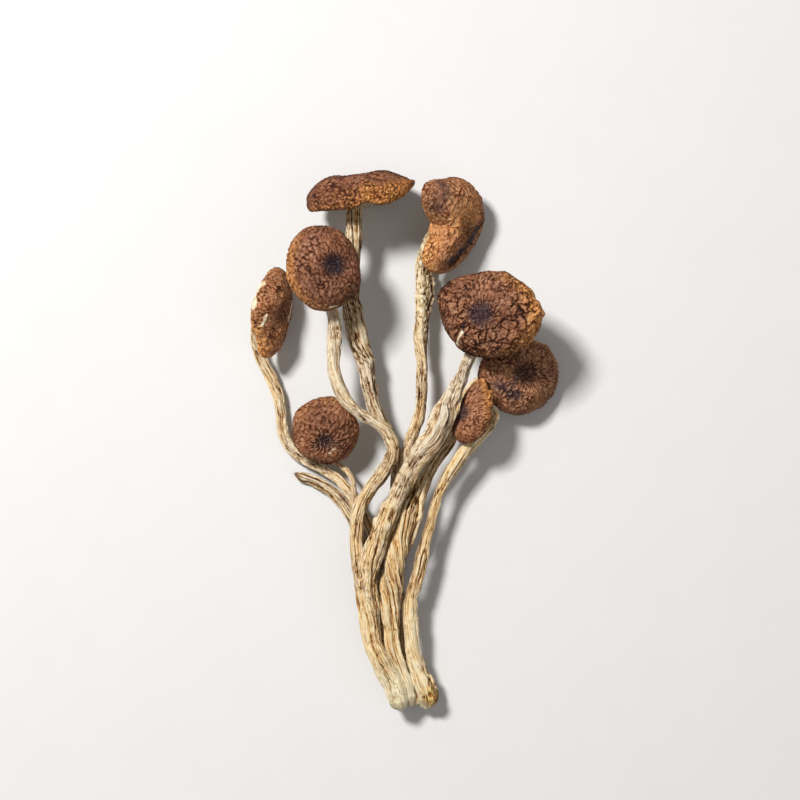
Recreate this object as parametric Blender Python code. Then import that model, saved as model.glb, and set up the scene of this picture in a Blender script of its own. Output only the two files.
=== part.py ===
"""One cluster of dried tea tree mushrooms, grown together at the foot and lying on its side.

+Y runs from the foot to the caps, +X to the right and +Z up, away from the surface that
the cluster rests on. The origin lies on that surface, under the middle of the cluster.
"""
import math

import bmesh
import bpy
from mathutils import Matrix, Vector, noise

MM = 0.001  # every size below is in millimetres

# Driving sizes
GAP = 0.3  # space kept between a stem and what it meets at either end
FOOT_TOP_Y = -61.0  # where the single stems part from the fused foot
FOOT_END_Y = -81.0  # the cut end of the foot
FOOT_RINGS = 8
FOOT_SIDES = 44
FOOT_MIDDLE_TOP = (-4.2, 5.6)  # x and z that the foot's outline is measured from, upper end
FOOT_MIDDLE_END = (3.2, 4.8)
FOOT_BLEND = 2.2  # how sharply neighbouring stems stay apart in the foot, per millimetre
FOOT_BEND = 0.7  # how much of the foot's slant is a smooth bend, the rest being straight
FOOT_REACH_LIMIT = 14.0  # further from the middle than any part of the foot
FOOT_SEARCH_STEP = 0.2
FOOT_FIBRE = 0.03  # height of the fibre ridges over the foot's radius
FOOT_PRESS = 1.3  # the foot dried lying down, so its underside is flat
PRESS_REACH = 6.0
STEM_SIDES = 10  # five ridges and five grooves
STEM_RING_STEP = 5.0
STEM_FLATNESS = 0.88  # thickness over width of a shrivelled stem
FLUTE_DEPTH = 0.12  # ridge or groove height over the stem's radius
STEM_RIPPLE = 0.07  # uneven shrinking, over the radius
TWIST_PER_MM = math.radians(1.1)
CAP_SEGMENTS = 22
CAP_RING_ANGLES = (9, 23, 37, 51, 64, 77, 90, 104)  # degrees from the top of the dome
CAP_LIP = (0.87, -0.34)  # inrolled edge: share of the radius, share of the dome height
CAP_RECESS = (0.78, 0.10)  # corner of the hollow under the dome
CAP_WRINKLE = 0.42  # height of a skin ridge or knob
CAP_LUMP = 0.8  # height of a broad lump
FAN_END = 45  # degrees from the top where the fanned ridges give way to knobs
DENT_WIDTH = 0.34  # width of the sunken middle over the cap's radius
GILL_DEPTH = 1.5
GILL_PLEAT = 0.3

# Stems from the foot outward: x, y, z of the middle line and the width there.
STEM_ROUTES = {
    "stem_1": (
        (-9.4, -61.0, 10.8, 5.0), (-10.4, -49.2, 11.7, 5.6), (-10.5, -40.2, 12.6, 5.8),
        (-8.6, -32.7, 13.7, 5.8), (-5.7, -25.2, 14.0, 5.9), (-2.4, -17.7, 14.6, 5.7),
        (1.2, -11.7, 15.2, 5.4), (5.1, -5.7, 16.0, 5.4), (8.7, -0.3, 16.8, 6.0),
        (11.1, 5.4, 17.0, 7.0), (13.5, 10.8, 16.8, 5.0), (16.5, 16.2, 16.4, 4.0),
        (18.6, 21.3, 16.4, 3.6), (21.4, 27.0, 17.2, 3.6), (24.4, 31.8, 19.2, 3.8),
    ),
    "stem_2": (
        (-4.2, -61.0, 9.1, 4.0), (-4.4, -52.2, 9.9, 5.6), (-4.1, -43.2, 10.3, 6.9),
        (-2.0, -34.2, 10.5, 7.1), (0.7, -26.7, 10.7, 6.6), (2.7, -20.7, 10.1, 5.8),
        (4.8, -14.7, 9.0, 4.4), (8.1, -8.7, 8.0, 3.6), (12.3, -3.6, 7.0, 3.3),
        (15.0, 1.8, 6.2, 3.3), (17.1, 9.3, 5.0, 3.3), (19.5, 14.4, 3.9, 3.2),
        (23.6, 17.8, 2.8, 3.2), (28.8, 18.8, 2.4, 3.2), (32.2, 18.8, 3.0, 3.4),
    ),
    "stem_3": (
        (1.9, -61.0, 8.4, 4.4), (1.4, -52.2, 9.0, 4.3), (3.3, -43.2, 9.6, 3.9),
        (5.7, -34.2, 9.8, 3.4), (7.8, -26.7, 9.8, 2.9), (9.3, -20.7, 10.2, 2.8),
        (10.8, -16.2, 10.6, 2.9), (13.5, -10.8, 10.8, 3.7), (17.1, -5.7, 10.8, 4.1),
        (21.3, -0.3, 11.0, 4.1), (25.3, 3.6, 11.6, 3.7), (27.5, 6.6, 12.2, 3.3),
        (26.6, 9.0, 12.2, 3.0), (24.2, 8.8, 11.8, 2.8),
    ),
    "stem_4": (
        (-10.6, -61.0, 5.8, 3.7), (-12.8, -49.0, 7.0, 3.8), (-13.9, -40.0, 8.0, 3.9),
        (-14.4, -32.0, 8.9, 4.0), (-14.1, -25.2, 9.9, 4.0), (-13.2, -21.0, 10.4, 4.0),
        (-11.1, -16.8, 11.4, 3.9), (-8.1, -12.6, 12.6, 3.7), (-5.1, -8.4, 14.0, 3.7),
        (-3.3, -4.2, 14.8, 3.7), (-4.2, -0.6, 15.4, 3.6), (-6.3, 2.7, 15.8, 3.6),
        (-10.5, 5.1, 16.2, 3.6), (-14.1, 6.3, 16.8, 3.6), (-16.8, 9.0, 17.5, 3.7),
        (-19.2, 12.3, 17.2, 4.1), (-20.7, 16.2, 17.2, 4.5), (-22.0, 22.2, 17.2, 4.7),
        (-21.0, 27.0, 17.4, 4.3), (-20.8, 32.0, 18.0, 3.9), (-22.0, 37.4, 19.0, 3.7),
        (-23.8, 43.4, 20.6, 3.7),
    ),
    "stem_5": (
        (-5.6, -61.0, 2.8, 3.2), (-6.6, -50.0, 3.0, 3.3), (-7.2, -40.0, 3.2, 3.4),
        (-9.2, -31.0, 4.0, 3.4), (-12.8, -23.6, 4.6, 3.5), (-15.4, -19.0, 4.8, 3.5),
        (-18.3, -14.6, 4.5, 3.5), (-20.9, -12.0, 3.7, 3.5), (-24.0, -10.1, 2.9, 3.5),
        (-27.9, -7.9, 2.6, 3.5), (-32.4, -5.0, 2.6, 3.5), (-35.7, -1.8, 2.8, 3.4),
        (-37.5, 2.4, 3.0, 3.3), (-38.1, 9.0, 3.2, 3.3), (-39.2, 15.3, 3.2, 3.4),
        (-41.2, 19.6, 3.2, 3.4), (-43.8, 23.8, 3.6, 3.3), (-45.2, 28.4, 5.2, 3.2),
        (-45.4, 33.0, 7.2, 3.1), (-44.9, 36.2, 8.6, 3.0),
    ),
    "stem_6": (
        (-12.3, -61.0, 3.2, 1.6), (-13.8, -52.0, 3.9, 1.7), (-14.5, -42.0, 4.5, 1.8),
        (-15.0, -32.0, 5.4, 1.8), (-15.5, -24.0, 6.9, 1.8), (-15.3, -18.6, 7.9, 1.8),
        (-15.2, -14.1, 7.9, 1.8), (-16.4, -10.8, 6.8, 1.8), (-19.2, -8.5, 5.4, 1.8),
        (-22.3, -6.9, 3.3, 1.8), (-23.4, -3.6, 3.3, 1.9), (-23.8, 0.2, 4.7, 2.0),
    ),
    "stem_7": (
        (-1.0, -61.0, 3.6, 3.8), (-1.8, -50.0, 4.0, 4.0), (-2.4, -38.0, 4.4, 4.1),
        (-2.6, -26.0, 4.8, 4.1), (-2.6, -14.0, 5.8, 4.2), (-3.0, -5.7, 7.2, 4.3),
        (-4.9, 0.0, 8.4, 4.4), (-8.1, 6.3, 9.4, 4.6), (-9.6, 10.8, 9.6, 4.8),
        (-11.1, 16.8, 9.6, 5.1), (-12.3, 22.8, 9.6, 5.5), (-14.1, 28.8, 9.8, 5.7),
        (-15.6, 34.8, 10.4, 5.7), (-16.5, 41.0, 11.0, 5.7), (-15.9, 50.0, 12.2, 5.4),
        (-15.4, 57.3, 13.4, 5.1), (-15.5, 62.0, 14.2, 5.1),
    ),
    "stem_8": (
        (-6.5, -61.0, 6.2, 2.8), (-7.8, -50.0, 6.2, 2.9), (-7.9, -40.0, 6.7, 3.0),
        (-6.0, -29.0, 7.6, 3.1), (-3.4, -19.6, 8.9, 3.2), (-1.0, -11.5, 10.0, 3.3),
        (0.6, -4.6, 10.6, 3.4), (2.4, 0.6, 11.0, 3.4), (4.0, 5.4, 10.8, 3.4),
        (4.9, 11.0, 10.4, 3.3), (4.8, 16.8, 10.0, 3.3), (5.5, 22.8, 9.6, 3.4),
        (4.6, 29.0, 8.8, 4.5), (5.0, 35.0, 7.8, 5.0), (5.9, 41.0, 6.8, 5.8),
        (6.3, 46.4, 5.6, 5.4), (5.2, 51.0, 5.0, 4.7), (5.5, 55.6, 5.2, 4.2),
        (7.2, 60.4, 6.4, 3.8),
    ),
    "broken_stem": (
        (-9.3, -61.0, 2.0, 3.2), (-10.7, -50.0, 1.9, 3.2), (-11.6, -40.0, 1.8, 3.4),
        (-13.4, -31.0, 1.8, 3.4), (-16.4, -23.9, 1.7, 3.4), (-19.4, -19.1, 1.7, 3.4),
        (-23.4, -15.6, 1.7, 3.5), (-27.9, -13.2, 1.8, 3.5), (-31.6, -11.9, 1.9, 3.4),
        (-33.4, -11.0, 2.4, 1.8),
    ),
}

# Where each stem runs inside the foot: x and z at its upper end, then at its cut end,
# each with the radius there.
FOOT_LOBES = {
    "stem_1": ((-9.4, 10.8, 2.8), (-1.2, 7.6, 3.6)),
    "stem_2": ((-4.2, 9.1, 2.3), (1.8, 7.0, 2.2)),
    "stem_3": ((1.9, 8.4, 2.4), (7.4, 6.4, 3.6)),
    "stem_4": ((-10.6, 5.8, 2.1), (-1.6, 3.8, 2.6)),
    "stem_5": ((-5.6, 2.8, 1.9), (1.4, 2.6, 2.4)),
    "stem_6": ((-12.3, 3.2, 1.1), (-0.6, 2.6, 1.8)),
    "stem_7": ((-1.0, 3.6, 2.1), (6.6, 3.2, 2.8)),
    "stem_8": ((-6.5, 6.2, 1.7), (4.6, 4.4, 2.6)),
    "broken_stem": ((-9.3, 2.0, 1.9), (0.6, 2.2, 2.2)),
}

# Caps: middle of the edge's plane, the way the top faces, the long way across, the long and
# short radius, dome height, dent depth, the dent's shift over the radius, waves of the
# outline (count, share, degrees), single bulges or bites of it (share, degrees, width in
# degrees) and edges that lift (millimetres, degrees, sharpness). Where given, an edge that is
# pinched thin (degrees, width in degrees, share) and the stem's shift from the middle.
CAPS = {
    1: dict(middle=(26.0, 35.4, 24.6), facing=(-0.30, -0.06, 0.95), long_way=(1.0, 0.12, 0.3),
            radii=(15.0, 13.0), dome=7.6, dent=1.2, dent_shift=(-0.12, 0.02),
            waves=((3, 0.01, 60), (5, 0.01, 10)), bulges=((0.21, 140, 26), (-0.10, 45, 32)),
            lifts=((1.2, 15, 3),)),
    2: dict(middle=(34.4, 18.6, 7.0), facing=(0.38, -0.08, 0.92), long_way=(0.9, 0.2, -0.3),
            radii=(12.8, 11.9), dome=6.4, dent=1.6, dent_shift=(0.0, 0.05),
            waves=((3, 0.02, 20), (5, 0.01, 30)), bulges=((-0.05, 235, 30),), lifts=()),
    3: dict(middle=(20.6, 6.4, 14.6), facing=(-0.46, 0.18, 0.87), long_way=(0.36, 0.93, 0.0),
            radii=(10.1, 5.4), dome=3.4, dent=0.7, dent_shift=(-0.1, 0.3),
            waves=((2, 0.03, 60), (3, 0.06, 20), (5, 0.03, 0)), bulges=(),
            lifts=((1.2, 10, 3),)),
    4: dict(middle=(-24.7, 49.5, 25.4), facing=(0.33, 0.0, 0.94), long_way=(0.0, 1.0, 0.0),
            radii=(12.4, 10.9), dome=7.2, dent=1.2, dent_shift=(0.0, -0.16),
            waves=((5, 0.012, 40),), bulges=((0.12, 238, 45),), lifts=()),
    5: dict(middle=(-40.6, 37.8, 9.6), facing=(0.91, -0.15, 0.39), long_way=(0.2, 0.98, 0.0),
            radii=(12.4, 9.4), dome=5.0, dent=0.9, dent_shift=(-0.1, 0.1),
            waves=((3, 0.04, 90), (4, 0.02, 20)), bulges=((0.07, 5, 22), (0.08, 180, 22)),
            lifts=((1.0, 175, 3),)),
    6: dict(middle=(-24.0, 1.9, 10.7), facing=(0.02, -0.42, 0.9), long_way=(1.0, 0.0, 0.0),
            radii=(10.1, 10.2), dome=5.8, dent=1.3, dent_shift=(0.0, -0.16),
            waves=((5, 0.015, 0),), bulges=((0.04, 60, 30), (0.04, 275, 30)), lifts=()),
    7: dict(middle=(-12.9, 72.0, 13.8), facing=(-0.07, 0.98, 0.18), long_way=(1.0, 0.07, 0.0),
            radii=(16.7, 14.0), dome=8.6, dent=2.8, dent_shift=(-0.05, 0.0),
            waves=((3, 0.02, 170), (5, 0.015, 0)), bulges=((-0.04, 0, 34),),
            lifts=((3.6, 0, 2), (2.4, 276, 40)), pinch=(-4, 26, 0.65), stem_at=(-2.4, 0.0)),
    8: dict(middle=(12.9, 64.4, 10.1), facing=(0.69, -0.29, 0.66), long_way=(0.38, 0.92, 0.0),
            radii=(14.6, 12.4), dome=7.6, dent=1.6, dent_shift=(0.05, -0.12),
            waves=((2, 0.02, 0), (3, 0.03, 60)),
            bulges=((-0.50, 110, 24), (-0.36, 143, 16), (0.26, 62, 18)),
            lifts=((1.6, 150, 3),)),
}


def clear_scene():
    """Start from an empty scene."""
    for old in list(bpy.data.objects):
        bpy.data.objects.remove(old, do_unlink=True)


def plain_material(name, colour, roughness):
    """One Principled material with its own colour and roughness."""
    material = bpy.data.materials.new(name)
    material.use_nodes = True
    shader = material.node_tree.nodes["Principled BSDF"]
    shader.inputs["Base Color"].default_value = (*colour, 1.0)
    shader.inputs["Roughness"].default_value = roughness
    shader.inputs["Metallic"].default_value = 0.0
    return material


def catmull_rom(before, start, end, after, share):
    """A point on the smooth curve from start to end, for points of any length."""
    out = []
    for a, b, c, d in zip(before, start, end, after):
        straight = 2 * b + (c - a) * share
        square = (2 * a - 5 * b + 4 * c - d) * share ** 2
        cube = (3 * b - a - 3 * c + d) * share ** 3
        out.append(0.5 * (straight + square + cube))
    return out


def dense_curve(points, steps=12):
    """Points along the smooth curve through the hand-placed points, width included."""
    padded = [points[0], *points, points[-1]]
    curve = []
    for index in range(len(points) - 1):
        for step in range(steps):
            curve.append(catmull_rom(*padded[index:index + 4], step / steps))
    curve.append(list(points[-1]))
    return curve


def even_curve(points, spacing):
    """The same curve read at even distances along its length."""
    curve = dense_curve(points)
    travelled = [0.0]
    for here, there in zip(curve, curve[1:]):
        travelled.append(travelled[-1] + math.dist(here[:3], there[:3]))
    count = max(2, round(travelled[-1] / spacing))
    even = []
    place = 0
    for index in range(count + 1):
        target = travelled[-1] * index / count
        while place < len(curve) - 2 and travelled[place + 1] < target:
            place += 1
        stretch = travelled[place + 1] - travelled[place]
        share = (target - travelled[place]) / stretch
        even.append([a + (b - a) * share for a, b in zip(curve[place], curve[place + 1])])
    return even


def skin_rings(bm, rings, close_ends=True):
    """Join rings of points into one closed skin, with a flat face over each end."""
    loops = []
    for ring in rings:
        loops.append([bm.verts.new(point * MM) for point in ring])
    for lower, upper in zip(loops, loops[1:]):
        count = len(lower)
        for side in range(count):
            after = (side + 1) % count
            bm.faces.new((lower[side], lower[after], upper[after], upper[side]))
    if close_ends:
        bm.faces.new(list(reversed(loops[0])))
        bm.faces.new(loops[-1])
    return loops


def settle(rings, press=0.0):
    """Flatten whatever would sink below the resting surface onto it. A press widens the
    flat: it pushes the underside down, most at the bottom and not at all above PRESS_REACH."""
    for ring in rings:
        for point in ring:
            pushed = press * max(0.0, 1 - point.z / PRESS_REACH)
            point.z = max(point.z - pushed, 0.0)


def finish(name, bm, material):
    """Turn a bmesh into a named, smooth-shaded object with outward faces."""
    bmesh.ops.recalc_face_normals(bm, faces=bm.faces)
    if bm.calc_volume(signed=True) < 0:
        bmesh.ops.reverse_faces(bm, faces=bm.faces)
    mesh = bpy.data.meshes.new(name)
    bm.to_mesh(mesh)
    bm.free()
    mesh.shade_smooth()
    mesh.set_sharp_from_angle(angle=math.radians(50))
    mesh.materials.append(material)
    node = bpy.data.objects.new(name, mesh)
    bpy.context.scene.collection.objects.link(node)
    return node


def cap_frame(cap):
    """The cap's own axes: columns are the long way, the short way and the facing."""
    facing = Vector(cap["facing"]).normalized()
    long_way = Vector(cap["long_way"])
    long_way = (long_way - long_way.dot(facing) * facing).normalized()
    short_way = facing.cross(long_way)
    turn = Matrix((long_way, short_way, facing)).transposed()
    return turn, Vector(cap["middle"])


def cap_outline(cap, angle):
    """Radius of the edge at an angle round the cap: an oval with waves, bulges and bites."""
    long_radius, short_radius = cap["radii"]
    oval = long_radius * short_radius / math.hypot(
        short_radius * math.cos(angle), long_radius * math.sin(angle))
    wave = sum(share * math.cos(count * (angle - math.radians(phase)))
               for count, share, phase in cap["waves"])
    for share, middle, width in cap["bulges"]:
        away = (math.degrees(angle) - middle + 180) % 360 - 180
        wave += share * math.exp(-(away / width) ** 2)
    return oval * (1 + wave)


def cap_lift(cap, angle, share):
    """How far an upturned edge rises at this angle and share of the radius."""
    total = 0.0
    for amount, direction, sharpness in cap["lifts"]:
        toward = max(0.0, math.cos(angle - math.radians(direction)))
        total += amount * toward ** sharpness * share ** 3
    return total


def cap_pinch(cap, angle, share):
    """How much of its height the skin keeps at this angle and share of the radius."""
    direction, width, amount = cap.get("pinch", (0, 1, 0.0))
    away = (math.degrees(angle) - direction + 180) % 360 - 180
    rise = min(max((share - 0.5) / 0.45, 0.0), 1.0)
    return 1 - amount * math.exp(-(away / width) ** 2) * rise ** 2 * (3 - 2 * rise)


def cap_wrinkle(number, angle, polar, segment, ring_index):
    """Height of the shrivelled skin: broad lumps, ridges that fan from the middle, and
    knobs in staggered rows toward the edge."""
    share = math.sin(math.radians(polar))
    x = share * math.cos(angle)
    y = share * math.sin(angle)
    lump = noise.noise(Vector((2.3 * x, 2.3 * y, 7.1 * number)))
    uneven = 0.75 + 0.5 * noise.noise(Vector((3.1 * x, 3.1 * y, 3.3 * number)))
    row = segment if polar < FAN_END else segment + ring_index
    return CAP_LUMP * lump + CAP_WRINKLE * uneven * (-1) ** row * min(1.0, 2 * share)


def under_cap_height(cap, share):
    """Height of the hollow's roof over the edge's plane."""
    return cap["dome"] * (CAP_RECESS[1] + 0.12 * (1 - share ** 2))


def make_cap(number, cap, material):
    """A wrinkled dome with a sunken middle, an inrolled edge and a hollow underside."""
    turn, middle = cap_frame(cap)
    dome = cap["dome"]
    rings = []
    angles = [math.tau * segment / CAP_SEGMENTS for segment in range(CAP_SEGMENTS)]
    for ring_index, polar in enumerate(CAP_RING_ANGLES):
        share = math.sin(math.radians(polar))
        height = dome * math.cos(math.radians(polar))
        ring = []
        for segment, angle in enumerate(angles):
            radius = cap_outline(cap, angle) * share
            swell = cap_wrinkle(number, angle, polar, segment, ring_index)
            x = radius * math.cos(angle)
            y = radius * math.sin(angle)
            off_x = x / cap["radii"][0] - cap["dent_shift"][0]
            off_y = y / cap["radii"][0] - cap["dent_shift"][1]
            sink = cap["dent"] * math.exp(-(off_x ** 2 + off_y ** 2) / DENT_WIDTH ** 2)
            outward = 1 + swell * share / max(radius, 1.0)
            z = height * cap_pinch(cap, angle, share) - sink
            z += swell * math.cos(math.radians(polar)) + cap_lift(cap, angle, share)
            ring.append(Vector((x * outward, y * outward, z)))
        rings.append(ring)
    lip = []
    recess = []
    inner = []
    for angle in angles:
        radius = cap_outline(cap, angle)
        unit = Vector((math.cos(angle), math.sin(angle), 0.0))
        low = dome * CAP_LIP[1] * cap_pinch(cap, angle, CAP_LIP[0])
        low += cap_lift(cap, angle, CAP_LIP[0])
        lip.append(unit * radius * CAP_LIP[0] + Vector((0, 0, low)))
        corner = under_cap_height(cap, CAP_RECESS[0]) + cap_lift(cap, angle, CAP_RECESS[0])
        recess.append(unit * radius * CAP_RECESS[0] + Vector((0, 0, corner)))
        inner.append(unit * radius * 0.3 + Vector((0, 0, under_cap_height(cap, 0.3))))
    rings += [lip, recess, inner]
    rings = [[turn @ point + middle for point in ring] for ring in rings]
    settle(rings)
    bm = bmesh.new()
    skin_rings(bm, rings)
    return finish(f"cap_{number}", bm, material)


def make_gills(number, cap, material):
    """The pleated pale layer that fills the hollow under the cap."""
    turn, middle = cap_frame(cap)
    angles = [math.tau * segment / CAP_SEGMENTS for segment in range(CAP_SEGMENTS)]
    roof = []
    edge_top = []
    edge_low = []
    heart = []
    for segment, angle in enumerate(angles):
        reach = cap_outline(cap, angle) * CAP_RECESS[0] - 2.2 * GAP
        unit = Vector((math.cos(angle), math.sin(angle), 0.0))
        lift = cap_lift(cap, angle, CAP_RECESS[0])
        pleat = GILL_PLEAT * (-1) ** segment
        roof_height = under_cap_height(cap, 0.3) - GAP
        roof.append(unit * reach * 0.4 + Vector((0, 0, roof_height)))
        edge_height = under_cap_height(cap, CAP_RECESS[0]) - 2.0 * GAP + lift
        edge_top.append(unit * reach + Vector((0, 0, edge_height)))
        low_height = edge_height - GILL_DEPTH * 0.7 + pleat
        edge_low.append(unit * (reach - 0.2) + Vector((0, 0, low_height)))
        heart_height = roof_height - GILL_DEPTH + 0.4 * pleat
        heart.append(unit * reach * 0.42 + Vector((0, 0, heart_height)))
    rings = [roof, edge_top, edge_low, heart]
    rings = [[turn @ point + middle for point in ring] for ring in rings]
    settle(rings)
    bm = bmesh.new()
    skin_rings(bm, rings)
    return finish(f"gills_{number}", bm, material)


def stem_end_under(cap):
    """Where a stem meets the gills: the point, and the way it points there."""
    turn, middle = cap_frame(cap)
    height = under_cap_height(cap, 0.3) - GILL_DEPTH - 2.6 * GAP
    aside, ahead = cap.get("stem_at", (0.0, 0.0))
    return turn @ Vector((aside, ahead, height)) + middle, turn.col[2].copy()


def stem_points(name):
    """The stem's hand-placed points, led to the cap it carries if it has one."""
    points = list(STEM_ROUTES[name])
    if name.startswith("stem_"):
        end, facing = stem_end_under(CAPS[int(name.split("_")[1])])
        width = points[-1][3]
        before = end - 1.8 * facing
        points.append((*before, width))
        points.append((*end, width))
    first = points[0]
    points[0] = (first[0], FOOT_TOP_Y + GAP, first[2], first[3])
    return points


def stem_rings(name):
    """Fluted cross-sections along a stem, turning slowly as the ridges wind round it."""
    curve = even_curve(stem_points(name), STEM_RING_STEP)
    middles = [Vector(point[:3]) for point in curve]
    last_way = (middles[-1] - middles[-2]).normalized()
    if name.startswith("stem_"):
        last_way = stem_end_under(CAPS[int(name.split("_")[1])])[1]
    side = Vector((1.0, 0.0, 0.0))
    previous = Vector((0.0, 1.0, 0.0))
    rings = []
    for index, (middle, point) in enumerate(zip(middles, curve)):
        if index == 0:
            way = previous
        elif index == len(middles) - 1:
            way = last_way
        else:
            way = (middles[index + 1] - middles[index - 1]).normalized()
        side = previous.rotation_difference(way) @ side
        side = (side - side.dot(way) * way).normalized()
        previous = way
        up = side.cross(way)
        radius = point[3] / 2
        turned = index * STEM_RING_STEP * TWIST_PER_MM
        ring = []
        for corner in range(STEM_SIDES):
            angle = math.tau * corner / STEM_SIDES + turned
            ripple = noise.noise(Vector((corner * 1.7, index * 0.45, len(name) + radius)))
            flute = 1 + FLUTE_DEPTH * (-1) ** corner + STEM_RIPPLE * ripple
            across = side * math.cos(angle) * radius * flute
            through = up * math.sin(angle) * radius * flute * STEM_FLATNESS
            ring.append(middle + across + through)
        rings.append(ring)
    settle(rings)
    return rings


def make_stem(name, material):
    """One stem as a closed, fluted solid."""
    bm = bmesh.new()
    skin_rings(bm, stem_rings(name))
    return finish(name, bm, material)


def foot_slant(share):
    """How far the foot has slanted to the side, a share of the way to its cut end."""
    return FOOT_BEND * share ** 2 * (3 - 2 * share) + (1 - FOOT_BEND) * share


def foot_lobes_at(share):
    """Middle and radius of every stem inside the foot, a share of the way to its cut end."""
    slant = foot_slant(share)
    lobes = []
    for top, end in FOOT_LOBES.values():
        lobes.append([a + (b - a) * slant for a, b in zip(top, end)])
    return lobes


def foot_reach(lobes, middle, angle):
    """Distance from the foot's middle to its skin: the rounds of the stems, blended. The
    search comes from outside, so hollows between the stems don't stop it."""
    way_x = math.cos(angle)
    way_z = math.sin(angle)

    def inside(reach):
        x = middle[0] + reach * way_x
        z = middle[1] + reach * way_z
        return sum(math.exp(FOOT_BLEND * (radius - math.hypot(x - lobe_x, z - lobe_z)))
                   for lobe_x, lobe_z, radius in lobes) > 1.0

    far = FOOT_REACH_LIMIT
    near = far - FOOT_SEARCH_STEP
    while near > FOOT_SEARCH_STEP and not inside(near):
        far = near
        near -= FOOT_SEARCH_STEP
    for _ in range(16):
        reach = (near + far) / 2
        if inside(reach):
            near = reach
        else:
            far = reach
    return near


def make_foot(material):
    """The fused foot: lobed where the stems run through it, flat where it rests."""
    rings = []
    for index in range(FOOT_RINGS):
        share = index / (FOOT_RINGS - 1)
        lobes = foot_lobes_at(share)
        slant = foot_slant(share)
        middle = [a + (b - a) * slant for a, b in zip(FOOT_MIDDLE_TOP, FOOT_MIDDLE_END)]
        shrink = 1.0 if index < FOOT_RINGS - 1 else 0.82
        ring = []
        for side in range(FOOT_SIDES):
            angle = math.tau * side / FOOT_SIDES
            reach = foot_reach(lobes, middle, angle) * shrink
            fibre = 1 + FOOT_FIBRE * (-1) ** side * min(1.0, 4 * share)
            ragged = 0.0
            if index == FOOT_RINGS - 1:
                ragged = 0.7 * noise.noise(Vector((side * 0.9, 2.0, 0.0)))
            y = FOOT_TOP_Y + (FOOT_END_Y - FOOT_TOP_Y) * share + ragged
            ring.append(Vector((middle[0] + reach * fibre * math.cos(angle), y,
                                middle[1] + reach * fibre * math.sin(angle))))
        rings.append(ring)
    settle(rings, FOOT_PRESS)
    bm = bmesh.new()
    skin_rings(bm, rings)
    return finish("foot", bm, material)


def main():
    clear_scene()
    stem_skin = plain_material("dried_stem", (0.56, 0.42, 0.25), 0.85)
    foot_skin = plain_material("pale_foot", (0.68, 0.55, 0.36), 0.85)
    cap_skin = plain_material("dried_cap_skin", (0.13, 0.055, 0.03), 0.7)
    gill_skin = plain_material("pale_gills", (0.50, 0.36, 0.22), 0.9)
    make_foot(foot_skin)
    for name in STEM_ROUTES:
        make_stem(name, stem_skin)
    for number, cap in CAPS.items():
        make_cap(number, cap, cap_skin)
        make_gills(number, cap, gill_skin)


main()
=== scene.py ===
"""Looks of the dried tea tree mushroom cluster: wrinkled caps, fibrous stems, gills, a pale foot.

Everything is in metres once it reaches Blender. The tables and the shape code work in
millimetres, in the CAD's own frame: +Y from the foot to the caps, +Z up from the surface
that the cluster lies on. Directions round a cap are in degrees from its long way.
"""
import math

import bpy
import numpy as np
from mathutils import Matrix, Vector


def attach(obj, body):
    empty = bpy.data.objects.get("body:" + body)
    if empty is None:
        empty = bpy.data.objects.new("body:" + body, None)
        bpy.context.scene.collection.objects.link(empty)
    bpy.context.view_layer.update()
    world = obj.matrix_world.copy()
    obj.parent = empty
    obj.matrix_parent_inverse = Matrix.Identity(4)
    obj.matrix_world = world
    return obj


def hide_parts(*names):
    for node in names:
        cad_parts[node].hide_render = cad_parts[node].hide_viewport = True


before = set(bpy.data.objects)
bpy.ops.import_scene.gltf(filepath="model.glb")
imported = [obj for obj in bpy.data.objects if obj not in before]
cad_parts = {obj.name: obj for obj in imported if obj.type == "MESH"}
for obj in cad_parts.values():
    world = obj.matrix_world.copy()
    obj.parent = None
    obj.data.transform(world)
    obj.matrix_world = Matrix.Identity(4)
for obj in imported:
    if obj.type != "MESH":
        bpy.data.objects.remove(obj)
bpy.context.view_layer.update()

MM = 0.001

# Sizes that the CAD's solids have, repeated here because this script can't read their source
FOOT_TOP_Y = -61.0
FOOT_END_Y = -81.0
FOOT_BEND = 0.7
STEM_FLATNESS = 0.88
TWIST_PER_MM = math.radians(1.1)
CAP_LIP = (0.87, -0.34)
CAP_RECESS = (0.78, 0.10)
DENT_WIDTH = 0.34

# Sizes of the fine surface, in millimetres
CAP_STEP = 0.25  # between the points of a cap's skin
STEM_STEP = 0.5  # between the rings of a stem's skin
STEM_SPACING = 0.18  # between the points of a ring
ROUTE_SOFTENING = 2.6  # length over which a stem's sharpest bends are eased
SEAM_Y = -63.0  # a stem's skin reaches this far into the foot, where the two skins cross
SEAM_SHRINK = 0.06  # how much narrower a skin is where the other one hides it
GILL_COUNT = 58
GILL_REACH = 0.74  # share of the cap's radius

# Heights of a stem's relief at full size, in millimetres
BROAD_WAVES, FLUTES, FURROWS, KINKS = 0.34, 1.10, 0.62, 0.60
CREASES, THREADS, KNOTS, GRAIN = 0.22, 0.13, 0.13, 0.08
BARK_PLATES, BARK_CRACKS, FOOT_GROOVES = 0.08, 0.12, 0.24
KNOBS, KNOB_SINK = 0.75, 0.35
SKIN_GIRTH = 1.03  # the skin's girth over the solid's, because its furrows go inward

# Heights of a cap's relief before its own height, in millimetres, and of its broad swell
FOLDS, SCALE_MIDDLE, BROAD_SWELL, TORN_DEPTH = 0.8, 0.45, 0.5, 0.25
LARGE_SCALES, LARGE_CREASES, SCALE_STEPS = 0.60, 0.50, 0.20
SMALL_SCALES, SMALL_CREASES = 0.50, 0.36

# How a cap's folds buckle: how uneven they are, how much the grooves win over the ridges,
# and for how many rounds they arrange themselves
FOLD_UNEVENNESS, FOLD_GROOVES, FOLD_ROUNDS = 0.5, 0.12, 13

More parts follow.
